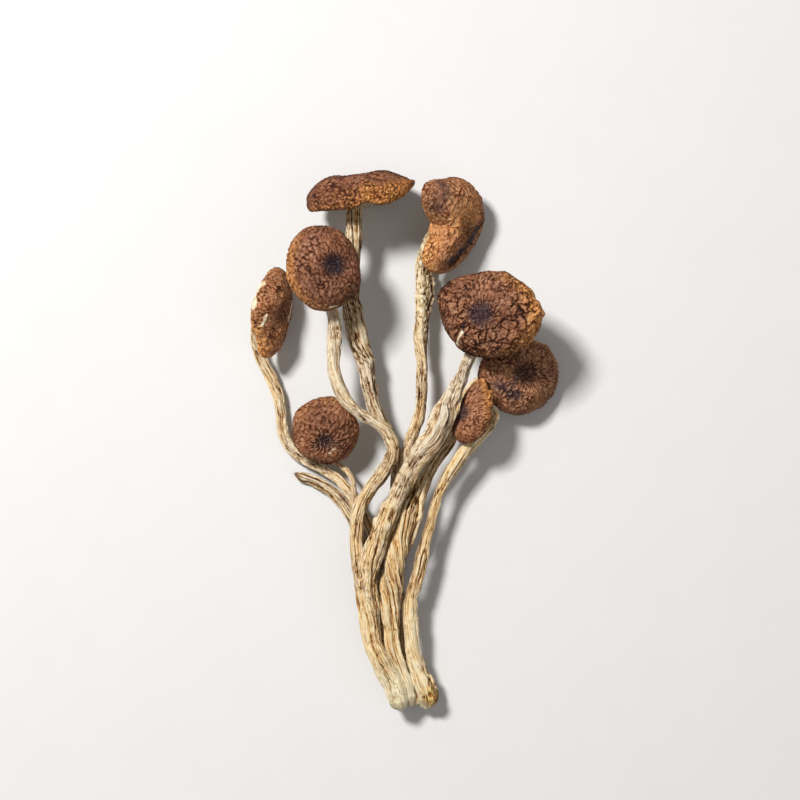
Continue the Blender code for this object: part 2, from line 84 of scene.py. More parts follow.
# Photograph: 0.30 mm a pixel at the height of the stems, 800 pixels wide
MM_PER_PIXEL = 0.30
PHOTO_PIXELS = 800
SENSOR = 36.0
CAMERA_MIDDLE = (-1.5, 10.8, 14.0)
CAMERA_DISTANCE = 640.0
CAMERA_ELEVATION = 86.0

# Stage, in metres: half the floor's width and its depth below the surface, then the soft
# lights' place, size, power and colour, and the point that they face
FLOOR_HALF = 1.6
FLOOR_DROP = 0.00005
LIGHTS = {
    "key": ((-0.46, 0.44, 0.92), 0.20, 16.0, (1.0, 0.97, 0.93)),
    "fill": ((0.7, -0.4, 0.8), 0.9, 1.5, (1.0, 0.98, 0.96)),
}
LIGHTS_AIM = (0, 0.01, 0.015)
ROOM_COLOUR = (1.0, 0.985, 0.97, 1.0)
ROOM_STRENGTH = 0.25
SPECULAR = 0.12
NEVER = 9  # a share of a stem's length that it doesn't reach


def named_rows(names, rows):
    """A table whose cells are read by the names of its columns."""
    return {key: dict(zip(names.split(), row)) for key, row in rows.items()}


# Stems from the foot outward: x, y, z of the middle line and the width there.
STEM_ROUTES = {
    "stem_1": ((-9.4, -61, 10.8, 5), (-10.4, -49.2, 11.7, 5.6), (-10.5, -40.2, 12.6, 5.8),
        (-8.6, -32.7, 13.7, 5.8), (-5.7, -25.2, 14, 5.9), (-2.4, -17.7, 14.6, 5.7),
        (1.2, -11.7, 15.2, 5.4), (5.1, -5.7, 16, 5.4), (8.7, -0.3, 16.8, 6), (11.1, 5.4, 17, 7),
        (13.5, 10.8, 16.8, 5), (16.5, 16.2, 16.4, 4), (18.6, 21.3, 16.4, 3.6),
        (21.4, 27, 17.2, 3.6), (24.4, 31.8, 19.2, 3.8)),
    "stem_2": ((-4.2, -61, 9.1, 4), (-4.4, -52.2, 9.9, 5.6), (-4.1, -43.2, 10.3, 6.9),
        (-2, -34.2, 10.5, 7.1), (0.7, -26.7, 10.7, 6.6), (2.7, -20.7, 10.1, 5.8),
        (4.8, -14.7, 9, 4.4), (8.1, -8.7, 8, 3.6), (12.3, -3.6, 7, 3.3), (15, 1.8, 6.2, 3.3),
        (17.1, 9.3, 5, 3.3), (19.5, 14.4, 3.9, 3.2), (23.6, 17.8, 2.8, 3.2),
        (28.8, 18.8, 2.4, 3.2), (32.2, 18.8, 3, 3.4)),
    "stem_3": ((1.9, -61, 8.4, 4.4), (1.4, -52.2, 9, 4.3), (3.3, -43.2, 9.6, 3.9),
        (5.7, -34.2, 9.8, 3.4), (7.8, -26.7, 9.8, 2.9), (9.3, -20.7, 10.2, 2.8),
        (10.8, -16.2, 10.6, 2.9), (13.5, -10.8, 10.8, 3.7), (17.1, -5.7, 10.8, 4.1),
        (21.3, -0.3, 11, 4.1), (25.3, 3.6, 11.6, 3.7), (27.5, 6.6, 12.2, 3.3), (26.6, 9, 12.2, 3),
        (24.2, 8.8, 11.8, 2.8)),
    "stem_4": ((-10.6, -61, 5.8, 3.7), (-12.8, -49, 7, 3.8), (-13.9, -40, 8, 3.9),
        (-14.4, -32, 8.9, 4), (-14.1, -25.2, 9.9, 4), (-13.2, -21, 10.4, 4),
        (-11.1, -16.8, 11.4, 3.9), (-8.1, -12.6, 12.6, 3.7), (-5.1, -8.4, 14, 3.7),
        (-3.3, -4.2, 14.8, 3.7), (-4.2, -0.6, 15.4, 3.6), (-6.3, 2.7, 15.8, 3.6),
        (-10.5, 5.1, 16.2, 3.6), (-14.1, 6.3, 16.8, 3.6), (-16.8, 9, 17.5, 3.7),
        (-19.2, 12.3, 17.2, 4.1), (-20.7, 16.2, 17.2, 4.5), (-22, 22.2, 17.2, 4.7),
        (-21, 27, 17.4, 4.3), (-20.8, 32, 18, 3.9), (-22, 37.4, 19, 3.7),
        (-23.8, 43.4, 20.6, 3.7)),
    "stem_5": ((-5.6, -61, 2.8, 3.2), (-6.6, -50, 3, 3.3), (-7.2, -40, 3.2, 3.4),
        (-9.2, -31, 4, 3.4), (-12.8, -23.6, 4.6, 3.5), (-15.4, -19, 4.8, 3.5),
        (-18.3, -14.6, 4.5, 3.5), (-20.9, -12, 3.7, 3.5), (-24, -10.1, 2.9, 3.5),
        (-27.9, -7.9, 2.6, 3.5), (-32.4, -5, 2.6, 3.5), (-35.7, -1.8, 2.8, 3.4),
        (-37.5, 2.4, 3, 3.3), (-38.1, 9, 3.2, 3.3), (-39.2, 15.3, 3.2, 3.4),
        (-41.2, 19.6, 3.2, 3.4), (-43.8, 23.8, 3.6, 3.3), (-45.2, 28.4, 5.2, 3.2),
        (-45.4, 33, 7.2, 3.1), (-44.9, 36.2, 8.6, 3)),
    "stem_6": ((-12.3, -61, 3.2, 1.6), (-13.8, -52, 3.9, 1.7), (-14.5, -42, 4.5, 1.8),
        (-15, -32, 5.4, 1.8), (-15.5, -24, 6.9, 1.8), (-15.3, -18.6, 7.9, 1.8),
        (-15.2, -14.1, 7.9, 1.8), (-16.4, -10.8, 6.8, 1.8), (-19.2, -8.5, 5.4, 1.8),
        (-22.3, -6.9, 3.3, 1.8), (-23.4, -3.6, 3.3, 1.9), (-23.8, 0.2, 4.7, 2)),
    "stem_7": ((-1, -61, 3.6, 3.8), (-1.8, -50, 4, 4), (-2.4, -38, 4.4, 4.1),
        (-2.6, -26, 4.8, 4.1), (-2.6, -14, 5.8, 4.2), (-3, -5.7, 7.2, 4.3), (-4.9, 0, 8.4, 4.4),
        (-8.1, 6.3, 9.4, 4.6), (-9.6, 10.8, 9.6, 4.8), (-11.1, 16.8, 9.6, 5.1),
        (-12.3, 22.8, 9.6, 5.5), (-14.1, 28.8, 9.8, 5.7), (-15.6, 34.8, 10.4, 5.7),
        (-16.5, 41, 11, 5.7), (-15.9, 50, 12.2, 5.4), (-15.4, 57.3, 13.4, 5.1),
        (-15.5, 62, 14.2, 5.1)),
    "stem_8": ((-6.5, -61, 6.2, 2.8), (-7.8, -50, 6.2, 2.9), (-7.9, -40, 6.7, 3),
        (-6, -29, 7.6, 3.1), (-3.4, -19.6, 8.9, 3.2), (-1, -11.5, 10, 3.3), (0.6, -4.6, 10.6, 3.4),
        (2.4, 0.6, 11, 3.4), (4, 5.4, 10.8, 3.4), (4.9, 11, 10.4, 3.3), (4.8, 16.8, 10, 3.3),
        (5.5, 22.8, 9.6, 3.4), (4.6, 29, 8.8, 4.5), (5, 35, 7.8, 5), (5.9, 41, 6.8, 5.8),
        (6.3, 46.4, 5.6, 5.4), (5.2, 51, 5, 4.7), (5.5, 55.6, 5.2, 4.2), (7.2, 60.4, 6.4, 3.8)),
    "broken_stem": ((-9.3, -61, 2, 3.2), (-10.7, -50, 1.9, 3.2), (-11.6, -40, 1.8, 3.4),
        (-13.4, -31, 1.8, 3.4), (-16.4, -23.9, 1.7, 3.4), (-19.4, -19.1, 1.7, 3.4),
        (-23.4, -15.6, 1.7, 3.5), (-27.9, -13.2, 1.8, 3.5), (-31.6, -11.9, 1.9, 3.4),
        (-33.4, -11, 2.4, 1.8)),
}

# Each stem's run inside the foot: x, z and radius at its upper end, then at its cut end.
FOOT_LOBES = {
    "stem_1": ((-9.4, 10.8, 2.8), (-1.2, 7.6, 3.6)),
    "stem_2": ((-4.2, 9.1, 2.3), (1.8, 7, 2.2)),
    "stem_3": ((1.9, 8.4, 2.4), (7.4, 6.4, 3.6)),
    "stem_4": ((-10.6, 5.8, 2.1), (-1.6, 3.8, 2.6)),
    "stem_5": ((-5.6, 2.8, 1.9), (1.4, 2.6, 2.4)),
    "stem_6": ((-12.3, 3.2, 1.1), (-0.6, 2.6, 1.8)),
    "stem_7": ((-1, 3.6, 2.1), (6.6, 3.2, 2.8)),
    "stem_8": ((-6.5, 6.2, 1.7), (4.6, 4.4, 2.6)),
    "broken_stem": ((-9.3, 2, 1.9), (0.6, 2.2, 2.2)),
}

# How much farther (below 0) or less far (above 0) each stem's run reaches at the cut end.
FOOT_ENDS = (-0.7, 0.5, -0.1, 0.4, 0.8, 1.0, 0.3, 0.5, 0.6)

# Caps: middle of the edge's plane, the way the top faces, the long way across, the long and
# short radius, dome height, dent depth, the dent's shift over the radius, waves of the
# outline (count, share, degrees), single bulges or bites of it (share, degrees, width in
# degrees) and edges that lift (millimetres, degrees, sharpness). Cap 7 is also pinched flat
# at one side (degrees, width in degrees, share), and its stem stands off its middle.
CAPS = named_rows("middle facing long_way radii dome dent dent_shift waves bulges lifts", {
    1: ((26, 35.4, 24.6), (-0.3, -0.06, 0.95), (1, 0.12, 0.3), (15, 13), 7.6, 1.2, (-0.12, 0.02),
        ((3, 0.01, 60), (5, 0.01, 10)), ((0.21, 140, 26), (-0.1, 45, 32)), ((1.2, 15, 3),)),
    2: ((34.4, 18.6, 7), (0.38, -0.08, 0.92), (0.9, 0.2, -0.3), (12.8, 11.9), 6.4, 1.6, (0, 0.05),
        ((3, 0.02, 20), (5, 0.01, 30)), ((-0.05, 235, 30),), ()),
    3: ((20.6, 6.4, 14.6), (-0.46, 0.18, 0.87), (0.36, 0.93, 0), (10.1, 5.4), 3.4, 0.7,
        (-0.1, 0.3), ((2, 0.03, 60), (3, 0.06, 20), (5, 0.03, 0)), (), ((1.2, 10, 3),)),
    4: ((-24.7, 49.5, 25.4), (0.33, 0, 0.94), (0, 1, 0), (12.4, 10.9), 7.2, 1.2, (0, -0.16),
        ((5, 0.012, 40),), ((0.12, 238, 45),), ()),
    5: ((-40.6, 37.8, 9.6), (0.91, -0.15, 0.39), (0.2, 0.98, 0), (12.4, 9.4), 5, 0.9, (-0.1, 0.1),
        ((3, 0.04, 90), (4, 0.02, 20)), ((0.07, 5, 22), (0.08, 180, 22)), ((1, 175, 3),)),
    6: ((-24, 1.9, 10.7), (0.02, -0.42, 0.9), (1, 0, 0), (10.1, 10.2), 5.8, 1.3, (0, -0.16),
        ((5, 0.015, 0),), ((0.04, 60, 30), (0.04, 275, 30)), ()),
    7: ((-12.9, 72, 13.8), (-0.07, 0.98, 0.18), (1, 0.07, 0), (16.7, 14), 8.6, 2.8, (-0.05, 0),
        ((3, 0.02, 170), (5, 0.015, 0)), ((-0.04, 0, 34),), ((3.6, 0, 2), (2.4, 276, 40))),
    8: ((12.9, 64.4, 10.1), (0.69, -0.29, 0.66), (0.38, 0.92, 0), (14.6, 12.4), 7.6, 1.6,
        (0.05, -0.12), ((2, 0.02, 0), (3, 0.03, 60)),
        ((-0.5, 110, 24), (-0.36, 143, 16), (0.26, 62, 18)), ((1.6, 150, 3),)),
})
CAPS[7].update(pinch=(-4, 26, 0.65), stem_at=(-2.4, 0))


# How each cap's skin has shrivelled: width of its scales in the middle and at the edge
# (millimetres), the way they are drawn out (degrees, ratio), how far the folds close into
# scales, spacing of the folds, how much longer than wide they are round the sunken middle,
# how far out that fan reaches, the side where it goes on to the edge (degrees, breadth,
# strength), the height of it all, the golden edge's strength, direction (degrees), breadth
# (degrees) and start (share of the radius), how dark the sunken middle is, how orange the
# skin is, how much lighter it is than plain skin, its seed, and how far from the middle the
# scales start (share of the way to the edge). The golden edge is partly the edge's own colour
# and partly painted light, most toward its direction; the lightness is partly the cap's own
# tone and partly painted light.
CAP_SKINS = named_rows(
    "scale drawn scaly folds fan fan_reach side height gold heart warmth light seed core", {
    1: ((2.6, 1.25), (20, 1.15), 1.1, 1.2, 2.2, 0.9, (88, 40, 0.6), 0.62, (1, 0, 58, 0.74), 0.9,
        0.2, 0.05, 11, -0.15),
    2: ((1.5, 1.2), (0, 1), 0.9, 0.85, 3.2, 0.9, (-28, 48, 0.8), 0.7, (0.7, 40, 60, 0.85), 0.55,
        0.4, 0.16, 22, 0.12),
    3: ((1.3, 1.1), (0, 1.5), 0.8, 0.85, 2.6, 0.8, (300, 60, 0.4), 0.46, (0.8, 330, 60, 0.8), 0.8,
        0.3, 0.03, 31, 0.12),
    4: ((1.5, 1.25), (30, 1.4), 0.7, 1.4, 1.4, 0.5, (0, 50, 0), 0.5, (0.7, 110, 75, 0.84), 1, 0.1,
        0, 44, -0.1),
    5: ((1.5, 1.2), (90, 1.6), 0.75, 1.3, 1.4, 0.4, (0, 50, 0), 0.56, (0.7, 200, 60, 0.88), 0.2,
        0.75, 0.14, 52, 0.12),
    6: ((1.5, 1.25), (60, 1.4), 0.7, 1.3, 1.7, 0.55, (120, 50, 0.3), 0.56, (0.3, 0, 80, 0.85), 0.8,
        0.35, 0.06, 63, 0.12),
    7: ((1.5, 1.2), (10, 1.4), 0.7, 1.25, 1.4, 0.4, (0, 50, 0), 0.42, (0.9, 318, 56, 0.9), 0.9,
        0.3, -0.07, 71, 0.12),
    8: ((1.6, 1.25), (0, 1.5), 0.7, 1.35, 1.4, 0.4, (0, 50, 0), 0.56, (0.5, 165, 60, 0.85), 0.1, 1,
        0.14, 85, 0.12),
})

# Small points of a cap's edge: how far each stands out (millimetres), where (degrees) and
# how broad it is (degrees).
CAP_POINTS = {
    1: ((0.8, -7, 4), (-0.5, 12, 5), (0.4, 150, 6)),
    2: ((0.5, 35, 6), (-0.6, 60, 6), (0.5, -60, 8)),
    3: ((1, -24, 6), (-0.9, -12, 5), (0.7, 2, 6), (-0.7, 30, 9), (0.7, -44, 6), (-0.6, -62, 9)),
    5: ((0.7, 175, 8), (-0.6, 150, 9)),
}

# Marks on the caps: cap, kind ("pale" where the skin is torn and flesh shows, "dark" or
# "gold"), one end and the other in the cap's own axes, breadth (millimetres) and strength.
# The dark marks of caps 5 and 7 and the last one of cap 8 are painted shade; the gold marks
# of caps 1 and 7 are partly painted light.
CAP_MARKS = (
    (1, "dark", (-7.4, -1.8, 6.3), (-8.4, -4, 5.8), 1, 1),
    (1, "pale", (-8.5, -4.3, 5.7), (-11.2, -7.5, 2.4), 1, 1),
    # Partly painted light on the cap's right edge.
    (1, "gold", (11, 2.5, 4), (14.5, -1, 1.5), 5, 0.5),
    (2, "dark", (-8.7, -1.2, 4.4), (-3.7, -5.4, 5.2), 4.2, 0.8),
    (2, "dark", (-1.5, 1.9, 4.9), (-5.5, -2.5, 5), 3, 0.7),
    (3, "gold", (9.6, -0.4, -0.2), (1, -5.2, 0.4), 1.9, 1),
    (3, "pale", (8.2, -3, -0.3), (6.2, -4.2, -0.3), 1, 0.8),
    (4, "pale", (-12.2, -1.7, 2.5), (-11.6, -4, 2.3), 0.8, 1),
    (5, "pale", (7.5, 7.3, -0.4), (4.6, 7.8, -1.8), 1.7, 1),
    (5, "pale", (4.6, 7.8, -1.8), (-0.4, 10, -0.8), 1.9, 1),
    # Painted shadow over the cap's upper right.
    (5, "dark", (10.5, -1.5, 2.6), (4, -4.5, 4.4), 4.6, 0.4),
    (5, "pale", (-2.1, 8, 2.9), (-5.3, 8, 2), 0.9, 1),
    (5, "pale", (4.3, -4.1, 4.3), (-1.4, -3.5, 4.6), 1.1, 0.95),
    (5, "gold", (-7, 7.4, 0), (-11.8, 2.2, 1.5), 3.2, 0.8),
    (6, "pale", (2.3, -4.2, 5.1), (2.8, -4, 5.1), 0.9, 1),
    (6, "pale", (1.5, -5.3, 5), (1.1, -5.4, 5), 0.8, 1),
    (6, "dark", (-3, -2.4, 4.8), (3.5, -2.6, 4.8), 3.2, 0.5),
    # Painted shade in the dip of the saddle.
    (7, "dark", (-5.6, -4.6, 7), (6.1, -4.2, 8.1), 4.8, 0.7),
    # Partly painted light on the cap's right tip.
    (7, "gold", (10.5, -11.5, 2), (15.5, -5.5, 3), 4.6, 0.9),
    (8, "dark", (2.8, -6.7, 5.9), (-3.9, -4.9, 6.1), 3.6, 1),
    (8, "dark", (-3.9, -4.9, 6.1), (-10.8, -0.6, 6.3), 3, 1),
    # Painted shade on the curled upper lobe.
    (8, "dark", (9.5, 12, 3), (2.5, 10, 3), 7, 0.75),
    (8, "gold", (5, 0, 7.2), (0, 3.5, 7.2), 8, 0.45),
)

# How each stem has dried: how barky, knobby from what share of its length on, its tint from
# warm tan (0) to grey brown (1) at the foot's end and at the cap's end, the side painted brown
# as shade (degrees from +X, seen from above) with how much and how far round it starts, how
# much lighter the stem is near its cap, how far its fibres twist above the foot (radians),
# and from what share of its length on it is pale.
STEM_SKINS = named_rows("bark knobs tint brown top twist tip", {
    "stem_1": (0.8, NEVER, (0.05, 1.3), (-40, 0.5, 0.35), 1.3, 0, NEVER),
    "stem_2": (0.3, NEVER, (0, 0.5), (-30, 0.6, 0.35), 0, 2.4, NEVER),
    "stem_3": (0.2, NEVER, (0.05, 0.3), (175, 0.8, 0.35), 1, 0, 0.9),
    "stem_4": (0.5, NEVER, (0.3, 0.9), (-35, 0.3, 0.35), 1.4, 0, NEVER),
    "stem_5": (0.5, NEVER, (0.45, 0.35), (-60, 0.5, 0.35), 0.9, 0, NEVER),
    "stem_6": (0.1, NEVER, (0.4, 0.2), (-30, 0.5, 0.35), 0, 0, NEVER),
    "stem_7": (0.7, NEVER, (0.6, 0.5), (-20, 0.6, 0.35), 0, 0, NEVER),
    "stem_8": (0.6, 0.75, (0.5, 0.35), (-10, 0.75, 0.15), 0.6, 0, NEVER),
    "broken_stem": (0.6, NEVER, (0.45, 0.6), (-60, 0.6, 0.35), 0, 0, NEVER),
})


# Noise on arrays of points

def hashed(cell, seed):
    """A steady pseudo-random number from 0 to 1 for each whole-number cell."""
    mixed = cell[..., 0] * 374761393 + cell[..., 1] * 668265263
    mixed = (mixed + cell[..., 2] * 2246822519 + seed * 3266489917) & 0xFFFFFFFF
    mixed = ((mixed ^ (mixed >> 15)) * 2654435761) & 0xFFFFFFFF
    mixed = ((mixed ^ (mixed >> 13)) * 1597334677) & 0xFFFFFFFF
    return (mixed ^ (mixed >> 16)) / 0xFFFFFFFF


def smooth_noise(points, seed=0):
    """Soft noise from -1 to 1 at each point."""
    low = np.floor(points).astype(np.int64)
    share = points - low
    share = share * share * share * (share * (share * 6 - 15) + 10)
    total = np.zeros(points.shape[:-1])
    for corner in range(8):
        step = np.array([(corner >> bit) & 1 for bit in range(3)])
        weight = np.prod(np.where(step == 1, share, 1 - share), axis=-1)
        total += weight * hashed(low + step, seed)
    return total * 2 - 1


def layered_noise(points, layers=3, seed=0):
    """Soft noise in layers of growing fineness, about -1 to 1."""
    total = np.zeros(points.shape[:-1])
    for layer in range(layers):
        total += smooth_noise(points * 2.03 ** layer, seed + layer) * 0.5 ** layer
    return total / 1.4


def scattered_cells(points, seed=0):
    """Distance from the nearest boundary between scattered cells, 0 on a crack, and a
    number from 0 to 1 that is the cell's own."""
    low = np.floor(points).astype(np.int64)
    nearest = np.full(points.shape[:-1], 9.0)
    second = np.full(points.shape[:-1], 9.0)
    own = np.zeros(points.shape[:-1])
    for x in (-1, 0, 1):
        for y in (-1, 0, 1):
            for z in (-1, 0, 1):
                cell = low + np.array([x, y, z])
                heart = np.stack([hashed(cell, seed + axis * 17) for axis in range(3)], axis=-1)
                gap = np.linalg.norm(cell + heart - points, axis=-1)
                second = np.minimum(second, np.maximum(nearest, gap))
                own = np.where(gap < nearest, hashed(cell, seed + 71), own)
                nearest = np.minimum(nearest, gap)
    return second - nearest, own


def eased(value, low, high):
    """0 below low, 1 above high, with a smooth rise between them."""
    share = np.clip((value - low) / (high - low), 0.0, 1.0)
    return share * share * (3 - 2 * share)


def unit(vectors):
    return vectors / np.maximum(np.linalg.norm(vectors, axis=-1, keepdims=True), 1e-9)


def ring_blur(field, rows, radius, along, across):
    """Soften a ring-by-ring field by the given widths (millimetres, one for each ring)."""
    waves = np.arange(field.shape[1] // 2 + 1)
    soften = np.exp(-0.5 * (waves[None, :] / radius[:, None] * across[:, None]) ** 2)
    field = np.fft.irfft(np.fft.rfft(field, axis=1) * soften, n=field.shape[1], axis=1)
    weight = np.exp(-0.5 * ((rows[:, None] - rows[None, :]) / along[:, None]) ** 2)
    weight /= weight.sum(axis=1, keepdims=True)
    return weight @ field


def shrivelled(rows, radius, count, pitch, stretch, seed):
    """Ridges (1) and grooves (-1) that arrange themselves at the given spacing, the way a
    skin buckles when what is under it shrinks."""
    rng = np.random.default_rng(seed)
    field = rng.normal(0, 0.5, (len(rows), count))
    across = pitch / 6.5
    along = across * stretch
    drive = ring_blur(rng.normal(0, 1, field.shape), rows, radius, along * 1.6, across * 1.6)
    drive = FOLD_UNEVENNESS * drive / drive.std() - FOLD_GROOVES
    for _ in range(FOLD_ROUNDS):
        near = ring_blur(field, rows, radius, along, across)
        far = ring_blur(field, rows, radius, along * 2, across * 2)
        field = np.tanh(6.0 * (near - far) + drive)
    return ring_blur(field, rows, radius, along * 0.4, across * 0.4)


def drawn_out(points, degrees, ratio):
    """The points with one direction in their plane drawn together, so that what is made
    from them comes out longer that way."""
    way = np.array([math.cos(math.radians(degrees)), math.sin(math.radians(degrees)), 0.0])
    return points - (points @ way)[..., None] * way * (1 - 1 / ratio)


def scales(points, seed, crease_width):
    """Domed scales with thin creases between them: the scales' height from 0 to 1, how deep
    the creases are, and a number from 0 to 1 that is the scale's own."""
    warp = [smooth_noise(points * 1.3, seed + axis) for axis in (1, 2, 3)]
    warp = np.stack(warp, axis=-1) + 0.4 * smooth_noise(points * 3.0, seed + 4)[..., None]
    gap, own = scattered_cells(points + 0.36 * warp, seed)
    fading = 0.35 + 0.65 * eased(smooth_noise(points * 0.7, seed + 5), -0.5, 0.2)
    return eased(gap, 0.0, 0.5), fading * np.exp(-(gap / crease_width) ** 2), own


# Curves and meshes

def catmull_rom(before, start, end, after, share):
    straight = 2 * start + (end - before) * share
    square = (2 * before - 5 * start + 4 * end - after) * share ** 2
    cube = (3 * start - before - 3 * end + after) * share ** 3
    return 0.5 * (straight + square + cube)


def even_curve(points, spacing, dense=14):
    """The smooth curve through the points, read at even distances along it."""
    points = np.array(points, dtype=float)
    padded = np.vstack([points[:1], points, points[-1:]])
    curve = [catmull_rom(*padded[index:index + 4], step / dense)
             for index in range(len(points) - 1) for step in range(dense)]
    curve = np.vstack([curve, points[-1:]])
    length = np.linalg.norm(np.diff(curve[:, :3], axis=0), axis=1)
    travelled = np.concatenate([[0.0], np.cumsum(length)])
    count = max(3, int(round(travelled[-1] / spacing)))
    targets = np.linspace(0.0, travelled[-1], count + 1)
    columns = [np.interp(targets, travelled, curve[:, axis]) for axis in range(curve.shape[1])]
    return np.stack(columns, axis=1), targets


def grid_normals(grid):
    """Outward direction at each point of a ring-by-ring grid that closes round its rings."""
    around = np.roll(grid, -1, axis=1) - np.roll(grid, 1, axis=1)
    along = np.gradient(grid, axis=0)
    return unit(np.cross(around, along))


def skin_object(name, grid, attributes, material):
    """A closed mesh object from rings of points in millimetres, with point attributes."""
    rings, around = grid.shape[:2]
    index = np.arange(rings * around).reshape(rings, around)
    after = np.roll(index, -1, axis=1)
    faces = np.stack([index[:-1], after[:-1], after[1:], index[1:]], axis=-1)
    faces = faces.reshape(-1, 4).tolist()
    for heart, (ring, way) in enumerate(((0, 1), (-1, -1)), rings * around):
        sides = zip(after[ring].tolist(), index[ring].tolist())
        faces += [[heart, *side[::way]] for side in sides]

    def with_hearts(values):
        """One row for each point, then one for the middle of the first and the last ring."""
        flat = values.reshape(rings * around, -1)
        return np.vstack([flat, *(flat[index[ring]].mean(axis=0) for ring in (0, -1))])

    mesh = bpy.data.meshes.new(name)
    mesh.from_pydata(with_hearts(grid * MM).tolist(), [], faces)
    for label, values in attributes.items():
        flat = with_hearts(values)
        kind, field = ("FLOAT", "value") if flat.shape[1] == 1 else ("FLOAT_VECTOR", "vector")
        layer = mesh.attributes.new(label, kind, "POINT")
        layer.data.foreach_set(field, flat.astype(np.float32).ravel())
    mesh.shade_smooth()
    mesh.materials.append(material)
    node = bpy.data.objects.new(name, mesh)
    bpy.context.scene.collection.objects.link(node)
    return node


def place_piece(piece, nodes):
    """Tie a new piece to the root of the frame, and hide the CAD parts that it stands for."""
    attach(piece, "root")
    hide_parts(*nodes)


# Materials

class Nodes:
    """Short names for building a material's node tree. What goes into a node is a number, a
    vector or another node's output."""

    def __init__(self, name, roughness):
        self.material = bpy.data.materials.new(name)
        self.material.use_nodes = True
        self.tree = self.material.node_tree
        self.shader = self.tree.nodes["Principled BSDF"]
        self.shader.inputs["Roughness"].default_value = roughness
        self.shader.inputs["Specular IOR Level"].default_value = SPECULAR

    def add(self, kind, output, inputs, **settings):
        node = self.tree.nodes.new("ShaderNode" + kind)
        for key, value in settings.items():
            setattr(node, key, value)
        for key, value in inputs.items():
            if isinstance(value, bpy.types.NodeSocket):
                self.tree.links.new(value, node.inputs[key])
            else:
                node.inputs[key].default_value = value
        return node.outputs[output]

    def value(self, label):
        return self.add("Attribute", "Fac", {}, attribute_name=label)

    def vector(self, label):
        return self.add("Attribute", "Vector", {}, attribute_name=label)

    def noise(self, scale, detail, rough, vector, output="Fac"):
        inputs = {"Scale": scale, "Detail": detail, "Roughness": rough, "Vector": vector}
        return self.add("TexNoise", output, inputs)

    def ramp(self, factor, *stops):
        """Colours along a factor, each stop a place and its red, green and blue."""
        output = self.add("ValToRGB", "Color", {"Fac": factor})
        elements = output.node.color_ramp.elements
        while len(elements) < len(stops):
            elements.new(0.5)
        for element, (place, *colour) in zip(elements, stops):
            element.position = place
            element.color = (*colour, 1.0)
        return output

    def spread(self, factor, low, high, to_low=0.0, to_high=1.0):
        inputs = {"Value": factor, "From Min": low, "From Max": high, "To Min": to_low,
                  "To Max": to_high}
        return self.add("MapRange", "Result", inputs)

    def mix(self, factor, first, second, blend="MIX"):
        first, second = [(*colour, 1.0) if isinstance(colour, tuple) else colour
                         for colour in (first, second)]
        inputs = {0: factor, 6: first, 7: second}
        return self.add("Mix", 2, inputs, data_type="RGBA", blend_type=blend)

    def maths(self, operation, first, second):
        return self.add("Math", 0, {0: first, 1: second}, operation=operation)

    def more(self, value, other, share):
        """The value and a share of another one."""
        return self.maths("ADD", value, self.maths("MULTIPLY", other, share))

    def stretched(self, vector, shares):
        return self.add("VectorMath", 0, {0: vector, 1: shares}, operation="MULTIPLY")

    def cell_edges(self, vector, scale, bend_scale, bend):
        """Distance from the edges of irregular cells, bent so that no edge is straight."""
        swirl = self.noise(bend_scale, 3.0, 0.5, vector, "Color")
        swirl = self.stretched(swirl, (bend, bend, bend))
        bent = self.add("VectorMath", 0, {0: vector, 1: swirl}, operation="ADD")
        inputs = {"Scale": scale, "Vector": bent}
        return self.add("TexVoronoi", "Distance", inputs, feature="DISTANCE_TO_EDGE")

    def bump(self, height, distance, strength=1.0, under=None):
        inputs = {"Height": height, "Distance": distance, "Strength": strength}
        if under is not None:
            inputs["Normal"] = under
        return self.add("Bump", "Normal", inputs)

    def done(self, colour, normal):
        self.tree.links.new(colour, self.shader.inputs["Base Color"])
        self.tree.links.new(normal, self.shader.inputs["Normal"])
        return self.material


